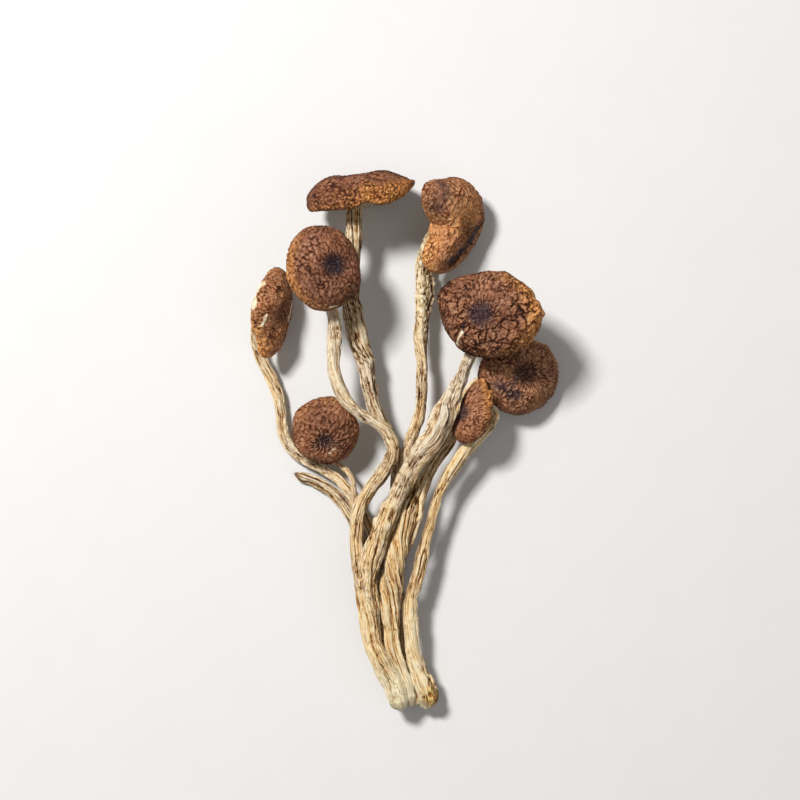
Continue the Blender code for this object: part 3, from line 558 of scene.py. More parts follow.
def cap_material():
    """Reddish to chocolate brown wrinkled skin: painted shade near black in the grooves, dark in
    the sunken middle, light brown along the ridges, golden at the edge, partly painted light."""
    n = Nodes("cap_skin_dry", 0.68)
    place = n.vector("place")
    patches = n.noise(0.17, 4.0, 0.6, place)
    grain = n.noise(2.3, 5.0, 0.7, place)
    cells = n.cell_edges(place, 0.85, 0.8, 2.0)
    grained = n.value("grained")
    crease = n.maths("MULTIPLY", n.spread(cells, 0.0, 0.11, 1.0, 0.0), grained)
    pebble = n.maths("MULTIPLY", n.spread(cells, 0.0, 0.32), grained)
    # The colour follows the painted shade and tone of the mesh, and the fine creases between the
    # pebbles are darkened as painted shade.
    relief = n.maths("ADD", n.value("painted_shade_and_tone"), n.spread(grain, 0.3, 0.7, -0.14, 0.14))
    relief = n.more(n.more(relief, crease, -0.27), pebble, 0.06)
    skin = n.ramp(relief, (0.0, 0.009, 0.0028, 0.0016), (0.25, 0.046, 0.014, 0.007),
                  (0.46, 0.160, 0.063, 0.034), (0.68, 0.300, 0.146, 0.088),
                  (1.0, 0.480, 0.275, 0.180))
    orange = n.ramp(relief, (0.0, 0.020, 0.0045, 0.0012), (0.25, 0.100, 0.027, 0.008),
                    (0.46, 0.285, 0.104, 0.040), (0.68, 0.475, 0.215, 0.096),
                    (1.0, 0.680, 0.385, 0.205))
    skin = n.mix(n.value("warmth"), skin, orange)
    shade = n.ramp(patches, (0.34, 0.62, 0.56, 0.56), (0.5, 0.92, 0.90, 0.90),
                   (0.68, 1.0, 1.0, 1.0))
    skin = n.mix(1.0, skin, shade, "MULTIPLY")
    # The sunken middle's own dark purple, also used for the dark marks, some of which are painted
    # shade.
    dark = n.ramp(relief, (0.1, 0.005, 0.003, 0.005), (0.55, 0.034, 0.020, 0.025),
                  (1.0, 0.125, 0.088, 0.096))
    skin = n.mix(n.value("heart"), skin, dark)
    # Golden edge, made brighter than its own colour as painted light where the key light leaves it
    # in shade.
    golden = n.ramp(relief, (0.2, 0.10, 0.030, 0.008), (0.50, 0.67, 0.272, 0.080),
                    (0.95, 0.92, 0.55, 0.220))
    skin = n.mix(n.value("gold_edge_and_painted_light"), skin, golden)
    cream = n.ramp(relief, (0.2, 0.42, 0.27, 0.14), (0.6, 0.80, 0.69, 0.48),
                   (1.0, 0.92, 0.87, 0.72))
    skin = n.mix(n.value("pale"), skin, cream)
    normal = n.bump(grain, 0.00026, 0.8)
    normal = n.bump(pebble, 0.00028, 0.9, normal)
    normal = n.bump(n.noise(6.5, 3.0, 0.6, place), 0.00012, 0.7, normal)
    return n.done(skin, normal)


def flesh_material(name):
    """Cream to tan dried fibres: dark brown cracks, painted shade in the creases with paler
    ridges, grey-brown bark, brown painted shade on one side, and brown and orange stains in
    places."""
    n = Nodes(name, 0.62)
    fibre = n.vector("fibre")
    streaks = n.noise(3.6, 5.0, 0.72, fibre)
    threads = n.noise(1.3, 1.5, 0.5, fibre)
    thin = n.maths("ABSOLUTE", n.maths("SUBTRACT", threads, 0.5), 0.0)
    present = n.spread(n.noise(2.4, 2.0, 0.5, fibre), 0.46, 0.58)
    lines = n.maths("MULTIPLY", n.spread(thin, 0.0, 0.028, 1.0, 0.0), present)
    # Painted shade and tone from the mesh: dark in the hollows, lighter on the ridges.
    relief = n.maths("ADD", n.value("painted_shade_and_tone"), n.spread(streaks, 0.3, 0.7, -0.19, 0.19))
    relief = n.more(relief, lines, -0.42)
    cells = n.cell_edges(n.stretched(fibre, (1.0, 5.0, 1.0)), 1.15, 1.3, 1.0)
    broken = n.spread(n.noise(0.45, 2.0, 0.5, n.vector("place")), 0.36, 0.54)
    barky = n.maths("MULTIPLY", n.spread(n.value("bark"), -0.5, 1.0), broken)
    cracks = n.maths("MULTIPLY", n.spread(cells, 0.0, 0.12, 1.0, 0.0), barky)
    relief = n.more(relief, cracks, -0.48)
    plates = n.spread(cells, 0.0, 0.3)
    relief = n.maths("ADD", relief, n.spread(plates, 0.0, 1.0, -0.05, 0.05))
    warm = n.ramp(relief, (0.0, 0.040, 0.011, 0.002), (0.2, 0.180, 0.066, 0.015),
                  (0.38, 0.50, 0.262, 0.085), (0.56, 0.80, 0.515, 0.225),
                  (0.8, 0.94, 0.715, 0.400), (1.0, 0.97, 0.85, 0.58))
    grey = n.ramp(relief, (0.0, 0.028, 0.010, 0.004), (0.2, 0.125, 0.058, 0.024),
                  (0.38, 0.36, 0.230, 0.125), (0.56, 0.61, 0.455, 0.295),
                  (0.8, 0.79, 0.665, 0.490), (1.0, 0.90, 0.81, 0.66))
    blotches = n.noise(0.5, 4.0, 0.6, fibre)
    tint = n.maths("ADD", n.value("tint"), n.spread(blotches, 0.3, 0.7, -0.45, 0.45))
    flesh = n.mix(tint, warm, grey)
    # Brown for the painted shade on one side of each stem, and for its brown patches.
    brown = n.ramp(relief, (0.0, 0.018, 0.006, 0.002), (0.4, 0.125, 0.058, 0.025),
                   (0.65, 0.26, 0.140, 0.068), (1.0, 0.52, 0.340, 0.190))
    flesh = n.mix(n.value("brown"), flesh, brown)
    cream = n.ramp(relief, (0.0, 0.14, 0.065, 0.020), (0.25, 0.50, 0.34, 0.15),
                   (0.5, 0.84, 0.70, 0.42), (0.85, 0.96, 0.89, 0.66))
    flesh = n.mix(n.value("pale"), flesh, cream)
    rust = n.ramp(relief, (0.1, 0.10, 0.034, 0.008), (0.40, 0.64, 0.30, 0.065),
                  (0.85, 0.94, 0.64, 0.22))
    flesh = n.mix(n.value("stain"), flesh, rust)
    specks = n.noise(1.15, 3.0, 0.5, n.vector("place"))
    flesh = n.mix(n.spread(specks, 0.74, 0.80, 0.0, 0.3), flesh, (0.12, 0.055, 0.022))
    normal = n.bump(n.more(streaks, lines, -0.6), 0.0004)
    normal = n.bump(plates, 0.00022, 0.8, normal)
    normal = n.bump(n.noise(3.6, 5.0, 0.7, n.vector("place")), 0.0003, 0.9, normal)
    return n.done(flesh, normal)


def gill_material():
    """Pale tan gills, with painted shade in brown between them."""
    n = Nodes("gill_flesh_dry", 0.75)
    place = n.vector("place")
    patches = n.noise(0.4, 4.0, 0.6, place)
    relief = n.maths("ADD", n.value("painted_shade_and_tone"), n.spread(patches, 0.3, 0.7, -0.2, 0.2))
    flesh = n.ramp(relief, (0.05, 0.10, 0.05, 0.025), (0.4, 0.34, 0.20, 0.10),
                   (0.7, 0.56, 0.40, 0.23), (1.0, 0.72, 0.58, 0.38))
    return n.done(flesh, n.bump(n.noise(4.0, 3.0, 0.6, place), 0.0002, 0.6))


# Stems

def cap_frame(cap):
    """Columns are the cap's long way, short way and facing; then its middle."""
    facing = unit(np.array(cap["facing"], dtype=float))
    long_way = np.array(cap["long_way"], dtype=float)
    long_way = unit(long_way - long_way.dot(facing) * facing)
    turn = np.stack([long_way, np.cross(facing, long_way), facing], axis=1)
    return turn, np.array(cap["middle"])


def stem_place(cap):
    """Where the stem stands in its cap, along the cap's long and short way."""
    return cap.get("stem_at", (0, 0))


def lobe_at(name, share):
    """Middle and radius of a stem's run in the foot, at a share of the way to its cut end."""
    slant = FOOT_BEND * share ** 2 * (3 - 2 * share) + (1 - FOOT_BEND) * share
    top, end = FOOT_LOBES[name]
    return [a + (b - a) * slant for a, b in zip(top, end)]


def stem_route(name):
    """The stem's points from the cut end of the foot to its cap."""
    route = []
    for share in np.arange(8, 0, -1) / 8:
        x, z, radius = lobe_at(name, share)
        route.append((x, FOOT_TOP_Y + (FOOT_END_Y - FOOT_TOP_Y) * share, z, radius * 2))
    route += list(STEM_ROUTES[name])
    if name.startswith("stem_"):
        cap = CAPS[int(name.split("_")[1])]
        turn, middle = cap_frame(cap)
        width = route[-1][3]
        roof = cap["dome"] * 0.2
        for depth in (roof - 4.1, roof - 1.9):
            route.append((*(middle + turn @ np.array([*stem_place(cap), depth])), width))
    return route


def softened(curve, along, reach):
    """The curve with its sharpest bends eased, its two ends kept."""
    weight = np.exp(-0.5 * ((along[:, None] - along[None, :]) / reach) ** 2)
    weight /= weight.sum(axis=1, keepdims=True)
    keep = np.minimum(along, along[-1] - along)
    share = eased(keep, 0.0, 2.5 * reach)[:, None]
    return curve * (1 - share) + (weight @ curve) * share


def carried_frames(middles):
    """Side and up directions carried along a curve without twisting."""
    ways = unit(np.gradient(middles, axis=0))
    side = np.array([1.0, 0.0, 0.0])
    sides = []
    for way in ways:
        side = unit(side - side.dot(way) * way)
        sides.append(side)
    sides = np.array(sides)
    return sides, np.cross(sides, ways)


def furrows(points, breadth, seed, broken=0.55):
    """Thin furrows that wander along the stem and come and go: 1 in a furrow."""
    value = smooth_noise(points, seed) + 0.16 * smooth_noise(points * 2.7, seed + 5)
    depth = eased(smooth_noise(points * broken + 7.7, seed + 9), -0.35, 0.4)
    return np.exp(-(value / breadth) ** 2) * (0.08 + 0.92 * depth)


def stem_skin(name, number):
    """Rings of the stem's shrivelled skin, with what the material needs to know."""
    style = STEM_SKINS[name]

    # The middle line, which sways a little, and the stem's thickness along it
    curve, along = even_curve(stem_route(name), STEM_STEP)
    curve = softened(curve, along, ROUTE_SOFTENING)
    middles = curve[:, :3]
    radius = curve[:, 3] / 2
    line = np.stack([along, along * 0 + number * 3.7, along * 0], axis=-1)

    def wander(length, seed):
        """Noise that changes over the given length along the stem."""
        return smooth_noise(line / length, seed)

    for axis in range(3):
        sway = 0.32 * wander(8.0, 31 + axis) + 0.14 * wander(3.5, 35 + axis)
        middles[:, axis] += sway * np.clip(radius / 2.5, 0.3, 1.0)
    radius = radius * (1 + 0.08 * wander(6.5, 51) + 0.06 * wander(2.6, 52))
    sides, ups = carried_frames(middles)
    count = int(2 * math.pi * radius.max() / STEM_SPACING / 2) * 2
    angles = np.linspace(0, math.tau, count, endpoint=False)
    around, length = np.meshgrid(angles, along)
    share = length / along[-1]

    def above(low, high):
        """0 along the stem's lower run, 1 from where it has passed the higher Y."""
        return eased(middles[:, 1], low, high)[:, None]

    twist = style["twist"] * above(-52.0, -22.0)
    turned = around + TWIST_PER_MM * length + 0.5 * wander(13.0, 57)[:, None] + twist
    girth = radius[:, None]

    def on_skin(breadth, reach):
        """Points for noise that is so broad across the stem and so long along it."""
        return np.stack([np.cos(around) * girth / breadth + number * 11.3, length / reach,
                         np.sin(around) * girth / breadth], axis=-1)

    def bumps(breadth, reach, seed):
        return smooth_noise(on_skin(breadth, reach), seed)

    # Flutes, furrows and kinks
    size = np.clip(girth / 2.6, 0.35, 1.2)
    edges = np.abs(bumps(2.2, 19.0, 110 + number))
    kinks = np.abs(bumps(2.6, 5.5, 115 + number))
    main = furrows(on_skin(1.9, 26.0), 0.17, 120 + number)
    middle = furrows(on_skin(0.95, 15.0), 0.24, 130 + number, 0.8)
    fine = furrows(on_skin(0.6, 7.0), 0.30, 140 + number, 1.3)
    knots = layered_noise(on_skin(1.6, 2.6), 3, 150 + number)
    grain = layered_noise(on_skin(0.42, 1.7), 2, 155 + number)
    low_run = 1 - above(-50.0, -22.0)
    steady = 1 - 0.6 * (1 - above(-30.0, -6.0))
    relief = size * (BROAD_WAVES * bumps(2.6, 20.0, 100 + number) - FLUTES * (edges - 0.3)
                     - FURROWS * main)
    relief -= size * KINKS * (kinks - 0.3) * steady
    relief += -CREASES * np.sqrt(size) * middle - THREADS * fine
    relief += (KNOTS * knots + GRAIN * grain) * (1 - 0.65 * low_run)

    # Plates of bark, grooves toward the foot, and knobs
    bark_zone = eased(layered_noise(on_skin(4.0, 9.0), 2, 160) + style["bark"] - 0.4, 0.0, 0.45)
    warp = 0.5 * bumps(0.8, 1.2, 170)[..., None]
    bark, plate = scattered_cells(on_skin(1.2, 2.6) + warp, 180 + number)
    bark_crack = bark_zone * np.exp(-(bark / 0.08) ** 2)
    bark_crack = bark_crack * eased(bumps(1.6, 4.0, 175 + number), -0.45, 0.3)
    relief += bark_zone * BARK_PLATES * (plate - 0.5) - BARK_CRACKS * bark_crack
    grooves = furrows(on_skin(0.8, 36.0), 0.12, 230 + number, 0.35)
    grooves = np.maximum(grooves, 0.8 * furrows(on_skin(0.5, 26.0), 0.16, 240 + number, 0.5))
    relief -= FOOT_GROOVES * np.sqrt(size) * grooves * low_run
    knob_zone = eased(share, style["knobs"] - 0.04, style["knobs"] + 0.04)
    bent = on_skin(2.1, 1.7) + 0.55 * bumps(1.6, 1.9, 195)[..., None]
    knobs = eased(scattered_cells(bent, 190 + number)[0], -0.1, 0.75)
    knob_zone = knob_zone * (0.45 + 0.55 * eased(bumps(2.2, 4.0, 196), -0.4, 0.3))
    relief += knob_zone * (KNOBS * knobs - KNOB_SINK)
    reach = girth * SKIN_GIRTH + relief
    x = np.cos(turned) * reach
    y = np.sin(turned) * reach * STEM_FLATNESS
    grid = middles[:, None, :] + x[..., None] * sides[:, None, :] + y[..., None] * ups[:, None, :]
    outward = unit(grid - middles[:, None, :])
    grid[..., 2] = np.maximum(grid[..., 2], 0.0)

    # Colours: painted shade, dark in what lies lower than its surroundings, near and wide, and
    # lighter on what stands out
    sharp, hollow = [relief - ring_blur(relief, along, radius, width * 3, width)
                     for width in (np.full(len(along), 0.28), np.full(len(along), 1.1))]
    painted_shade_and_tone = 0.79 + np.where(sharp > 0, 1.0, 2.0) * sharp + 0.35 * hollow - 0.16 * bark_crack
    painted_shade_and_tone -= 0.16 * main + (1 - 0.6 * low_run) * (0.20 * middle + 0.22 * fine)
    painted_shade_and_tone -= 0.26 * knob_zone * (1 - knobs)
    painted_shade_and_tone -= 0.32 * grooves * low_run
    low, high = style["tint"]
    tint = low + (high - low) * share ** 2 + 0.25 * bark_zone
    # Painted shade: brown on the side turned from the key light and on the underside, with a few
    # brown patches that are the stem's own.
    side, amount, start = style["brown"]
    side = math.radians(side)
    facing = outward[..., 0] * math.cos(side) + outward[..., 1] * math.sin(side)
    facing = facing - 0.25 * outward[..., 2]
    patchy = layered_noise(on_skin(1.6, 10.0), 3, 200 + number)
    brown = amount * eased(facing + 0.35 * patchy, start, start + 0.6)
    brown = np.maximum(brown, 0.25 * eased(patchy, 0.5, 0.9))
    painted_shade_and_tone += 0.12 * style["top"] * eased(share, 0.45, 0.85)
    tip = eased(share, style["tip"], style["tip"] + 0.03)
    pale = np.maximum(knob_zone * 0.7 * (1 - brown), 0.85 * tip)
    extra = dict(painted_shade_and_tone=np.clip(painted_shade_and_tone, 0, 1), tint=tint, fibre=on_skin(0.9, 15.0), place=grid,
                 pale=pale, brown=brown, bark=bark_zone, stain=np.zeros_like(share))
    return grid, extra


def shrink_rings(grid, shares):
    """Draw each ring in toward its own middle, to the given share of its size."""
    hearts = grid.mean(axis=1, keepdims=True)
    return hearts + (grid - hearts) * shares[:, None, None]


def foot_colours(grid, extra):
    """Cream toward the cut end, with painted shade in brown hollows, an orange stain at its right,
    and painted light on its right side.
    """
    depth = (FOOT_TOP_Y - grid[..., 1]) / (FOOT_TOP_Y - FOOT_END_Y)
    spots = layered_noise(grid * 0.5, 3, 77)
    cream = 0.9 * eased(depth + 0.12 * spots, 0.1, 0.95) * eased(-grid[..., 0], -7.0, 0.0)
    cream = np.maximum(cream, eased(depth + 0.1 * spots, 0.90, 1.02))
    stain = eased(depth, 0.5, 0.84) * (1 - eased(depth, 0.95, 1.02))
    stain = stain * eased(grid[..., 0], 4.5, 8.0)
    stain = stain * (0.35 + 0.65 * eased(spots, -0.45, 0.1)) * eased(depth, 0.5, 0.75)
    extra["pale"] = np.clip(np.maximum(extra["pale"], cream * (1 - stain)), 0, 1)
    extra["stain"] = np.clip(stain, 0, 1)
    extra["tint"] = extra["tint"] * (1 - 0.9 * eased(depth, -1.2, 0.3))
    extra["tint"] = extra["tint"] - 0.4 * eased(depth, -1.0, 0.0)
    # Less of the painted side shade toward the cut end.
    extra["brown"] = extra["brown"] * (1 - 0.75 * eased(depth, -0.6, 0.4))
    # The painted shade in the hollows grows softer toward the cut end.
    calm = eased(depth, -1.1, 0.1)
    extra["painted_shade_and_tone"] = extra["painted_shade_and_tone"] * (1 - 0.25 * calm) + 0.25 * calm
    extra["bark"] = extra["bark"] - 0.5 * eased(depth, -0.6, 0.3)
    # Painted light: the foot's right side lighter, where the key light leaves it in shade.
    right = eased(grid[..., 0], -4.0, 3.0) * (1 - cream)
    extra["painted_shade_and_tone"] = np.clip(extra["painted_shade_and_tone"] + (0.05 + 0.14 * right) * calm, 0, 1)


def ring_share(grid, low, high):
    """0 where a ring's middle lies at or below low along Y, 1 at or above high."""
    return eased(grid[:, :, 1].mean(axis=1), low, high)


def make_stems(material, foot_flesh):
    """One skinned piece for each stem above the foot, and one for all their lower runs."""
    strands = []
    for number, name in enumerate(STEM_ROUTES):
        grid, extra = stem_skin(name, number)
        foot_colours(grid, extra)
        heights = grid[:, :, 1].mean(axis=1)
        start = int(np.argmax(heights > SEAM_Y - 0.8))
        hidden = 1 - ring_share(grid, SEAM_Y - 0.9, SEAM_Y + 0.1)
        stem = shrink_rings(grid, 1 - SEAM_SHRINK * hidden)
        if not name.startswith("stem_"):
            stem = torn_tip(stem, extra)
        upper = {label: values[start:] for label, values in extra.items()}
        piece = skin_object(f"{name}_skin", stem[start:], upper, material)
        place_piece(piece, [name])
        stop = int(np.argmax(heights > FOOT_TOP_Y + 0.5))
        lower = {label: values[:stop].copy() for label, values in extra.items()}
        hidden = ring_share(grid, SEAM_Y - 0.5, FOOT_TOP_Y + 0.3)
        strand = cut_end(shrink_rings(grid, 1 - SEAM_SHRINK * hidden)[:stop], lower, number)
        strands.append(skin_object(f"foot_strand_{number}", strand, lower, foot_flesh))
    strands.append(foot_filler(foot_flesh))
    bpy.ops.object.select_all(action="DESELECT")
    for strand in strands:
        strand.select_set(True)
    bpy.context.view_layer.objects.active = strands[0]
    bpy.ops.object.join()
    strands[0].name = "foot_skin"
    place_piece(strands[0], ["foot"])


def torn_tip(grid, extra):
    """The broken stem narrows to a ragged end, darkened toward its tip as painted shade where a
    hollow would be.
    """
    reach = 7
    steps = np.arange(len(grid)) - (len(grid) - 1 - reach)
    share = np.clip(steps / reach, 0, 1)
    hearts = grid.mean(axis=1, keepdims=True)
    ragged = layered_noise(unit(grid - hearts) * 2.6 + 3.1, 2, 201)
    grid = hearts + (grid - hearts) * (1 - 0.35 * share[:, None, None] ** 2)
    way = unit(hearts[-1] - hearts[-6])
    grid = grid + way * (share[:, None] * ragged * 1.3)[..., None]
    # Painted shade toward the tip.
    extra["painted_shade_and_tone"] = extra["painted_shade_and_tone"] * (1 - 0.6 * share[:, None] ** 3)
    return grid


def cut_end(grid, extra, number):
    """A stem's run in the foot ends in a rounded lobe, smooth and cream on the left, with
    pits on the right where it was torn from the ground."""
    hearts = grid.mean(axis=1, keepdims=True)
    spokes = grid - hearts
    wide = np.abs(spokes)[..., 0].max(axis=1, keepdims=True)
    tall = np.abs(spokes)[..., 2].max(axis=1, keepdims=True)
    depth = np.clip(hearts[..., 1] - FOOT_END_Y, 0, None)
    smooth = 0.75 * (1 - eased(depth, 0.0, 9.0)) * (1 - eased(hearts[..., 0], 3.0, 6.0))
    turned = np.arctan2(spokes[..., 2] * wide, spokes[..., 0] * tall)
    oval = np.stack([np.cos(turned) * wide * 0.93, spokes[..., 1],
                     np.sin(turned) * tall * 0.93], axis=-1)
    grid = hearts + spokes * (1 - smooth[..., None]) + oval * smooth[..., None]
    rounding = np.sqrt(np.clip(1 - (1 - np.clip(depth / 3.6, 0, 1)) ** 2, 0, 1))
    grid = hearts + (grid - hearts) * (0.30 + 0.70 * rounding)[..., None]
    ragged = layered_noise(unit(grid - hearts) * 1.5 + number, 2, 210)
    near = 1 - np.clip(depth / 6.0, 0, 1)
    grid[..., 1] += near * (ragged * 0.7 + FOOT_ENDS[number])
    pits = eased(layered_noise(grid * np.array([1.1, 0.7, 1.1]), 3, 226), 0.05, 0.35)
    torn = eased(grid[..., 0], 3.5, 6.5) * eased(-grid[..., 1], 66.0, 72.0) * (1 - near ** 6)
    torn = torn * (1 - eased(-grid[..., 1], 79.0, 80.5))
    grid[..., 2] -= 1.2 * pits * torn * eased(grid[..., 2], 1.5, 4.0)
    # Painted shade in the pits on the right; the smooth lobe lighter.
    painted_shade_and_tone = extra["painted_shade_and_tone"] * (1 - 0.7 * pits * torn) * (1 - 0.4 * smooth) + 0.28 * smooth
    cut = eased(1 - depth / 2.8, 0.2, 0.8)
    end_tone = 0.70 + 0.22 * layered_noise(grid * 1.2, 3, 250)
    extra["painted_shade_and_tone"] = np.clip(painted_shade_and_tone * (1 - cut) + end_tone * cut, 0, 1)
    extra["fibre"] = extra["fibre"] * (1 - cut[..., None]) + grid * cut[..., None]
    grid[..., 2] = np.maximum(grid[..., 2], 0.0)
    return grid


def foot_filler(material):
    """Fills the middle of the foot, so that no gap between the strands goes through it."""
    rings = []
    angles = np.linspace(0, math.tau, 32, endpoint=False)
    for share in np.linspace(0.97, 0.0, 14):
        lobes = np.array([lobe_at(name, share) for name in FOOT_LOBES])
        x, z, _ = lobes.mean(axis=0)
        spread_x, spread_z, _ = (lobes.max(axis=0) - lobes.min(axis=0)) / 2
        taper = 0.66 + 0.34 * eased(share, 0.0, 0.35)
        wide = (spread_x * 0.80 + 0.8) * taper
        tall = (spread_z * 0.76 + 0.7) * taper
        y = np.full(len(angles), FOOT_TOP_Y + (FOOT_END_Y - FOOT_TOP_Y) * share)
        rings.append(np.stack([x + wide * np.cos(angles), y, z + tall * np.sin(angles)], axis=-1))
    grid = np.array(rings)
    flat = np.zeros(grid.shape[:2])
    lines = layered_noise(grid * np.array([1.2, 0.12, 1.2]), 3, 240)
    painted_shade_and_tone = np.clip(0.42 + 0.35 * lines, 0.1, 1.0) + 0.15 * eased(-grid[..., 1], 76.0, 79.0)
    extra = dict(painted_shade_and_tone=painted_shade_and_tone, tint=flat + 0.1, fibre=grid * np.array([1.0, 0.07, 1.0]),
                 place=grid, pale=0.6 * eased(-grid[..., 1], 70.0, 79.0), brown=flat, bark=flat,
                 stain=flat)
    return skin_object("foot_filler", grid, extra, material)


# Caps

def toward(angle, degrees, width):
    """1 in one direction round a cap, fading over the given degrees to both sides."""
    away = (np.degrees(angle) - degrees + 180) % 360 - 180
    return np.exp(-(away / width) ** 2)


def outline(cap, angle):
    """Radius of the edge at an angle round the cap: an oval with waves, bulges and bites."""
    long_radius, short_radius = cap["radii"]
    oval = long_radius * short_radius / np.hypot(
        short_radius * np.cos(angle), long_radius * np.sin(angle))
    wave = sum(share * np.cos(count * (angle - math.radians(phase)))
               for count, share, phase in cap["waves"])
    for share, middle, width in cap["bulges"]:
        wave = wave + share * toward(angle, middle, width)
    return oval * (1 + wave)


def placed(local, turn, middle):
    """Points from a cap's own axes to the cluster's, none of them below the surface."""
    world = local @ turn.T + middle
    world[..., 2] = np.maximum(world[..., 2], 0.0)
    return world


def lift(cap, angle, share):
    """How far an upturned edge rises at this angle and share of the radius."""
    total = 0.0
    for amount, direction, sharpness in cap["lifts"]:
        ahead = np.maximum(0.0, np.cos(angle - math.radians(direction)))
        total = total + amount * ahead ** sharpness * share ** 3
    return total


def cap_profile(cap):
    """Share of the radius and height of the skin, from the top over the edge to the roof of
    the hollow, and whether each point is under the cap (1) or on its skin (0)."""
    dome = cap["dome"]
    size = sum(cap["radii"]) / 2
    polar = np.radians(np.array([1.2, 10, 20, 30, 40, 50, 60, 70, 80, 90, 98, 104]))
    points = [(math.sin(a) * size, math.cos(a) * dome, 0, 0) for a in polar]
    points += [(0.935 * size, -0.315 * dome, 0, 0), (CAP_LIP[0] * size, CAP_LIP[1] * dome, 0, 0.7),
               (0.82 * size, -0.24 * dome, 0, 1)]
    skin, _ = even_curve(points, CAP_STEP)
    hollow = [points[-1], (0.79 * size, -0.06 * dome, 0, 1),
              (CAP_RECESS[0] * size, CAP_RECESS[1] * dome, 0, 1),
              (0.55 * size, 0.17 * dome, 0, 1), (0.25 * size, 0.21 * dome, 0, 1)]
    under, _ = even_curve(hollow, CAP_STEP * 3)
    curve = np.vstack([skin, under[1:]])
    return curve[:, 0] / size, curve[:, 1], curve[:, 3]


def cap_surface(cap, angle, reach, level, below):
    """The cap's form without its fine skin, in its own axes."""
    size = sum(cap["radii"]) / 2
    radius = outline(cap, angle) * reach
    slide = np.clip(1 - reach ** 2, 0, 1) * (1 - below)
    x = radius * np.cos(angle) + cap["dent_shift"][0] * size * slide
    y = radius * np.sin(angle) + cap["dent_shift"][1] * size * slide
    true_angle = np.arctan2(y, x)
    true_share = np.clip(np.hypot(x, y) / outline(cap, true_angle), 0, 1)
    domed = cap["dome"] * np.sqrt(1 - true_share ** 2)
    level = np.where((level > 0) & (below < 0.01), domed, level)
    off_x = x / cap["radii"][0] - cap["dent_shift"][0]
    off_y = y / cap["radii"][0] - cap["dent_shift"][1]
    hollow = np.exp(-(off_x ** 2 + off_y ** 2) / DENT_WIDTH ** 2) * (1 - below)
    side, width, amount = cap.get("pinch", (0, 1, 0))
    level = level * (1 - amount * toward(angle, side, width) * eased(reach, 0.5, 0.95))
    z = level - cap["dent"] * hollow + lift(cap, angle, reach)
    return np.stack([x, y, z], axis=-1), hollow


def cap_marks(number, local):
    """How strongly each kind of mark shows at each point of a cap, from 0 to 1."""
    masks = {kind: np.zeros(local.shape[:2]) for kind in ("pale", "dark", "gold")}
    noise = layered_noise(local * 0.9, 2, 300)
    fine = layered_noise(local * 2.6, 2, 305)
    for cap_number, kind, start, end, breadth, strength in CAP_MARKS:
        if cap_number != number:
            continue
        ragged = 1 + min(0.5, 0.3 * breadth) * noise + 0.25 * fine
        start, end = np.array(start), np.array(end)
        way = end - start
        away = local - start
        share = np.clip((away @ way) / way.dot(way), 0, 1)
        gap = np.linalg.norm(away - share[..., None] * way, axis=-1) / (breadth * 0.5 * ragged)
        shape = 1 - eased(gap, 0.8, 1.15) if kind == "pale" else np.exp(-gap ** 2)
        masks[kind] = np.maximum(masks[kind], shape * strength)
    return masks


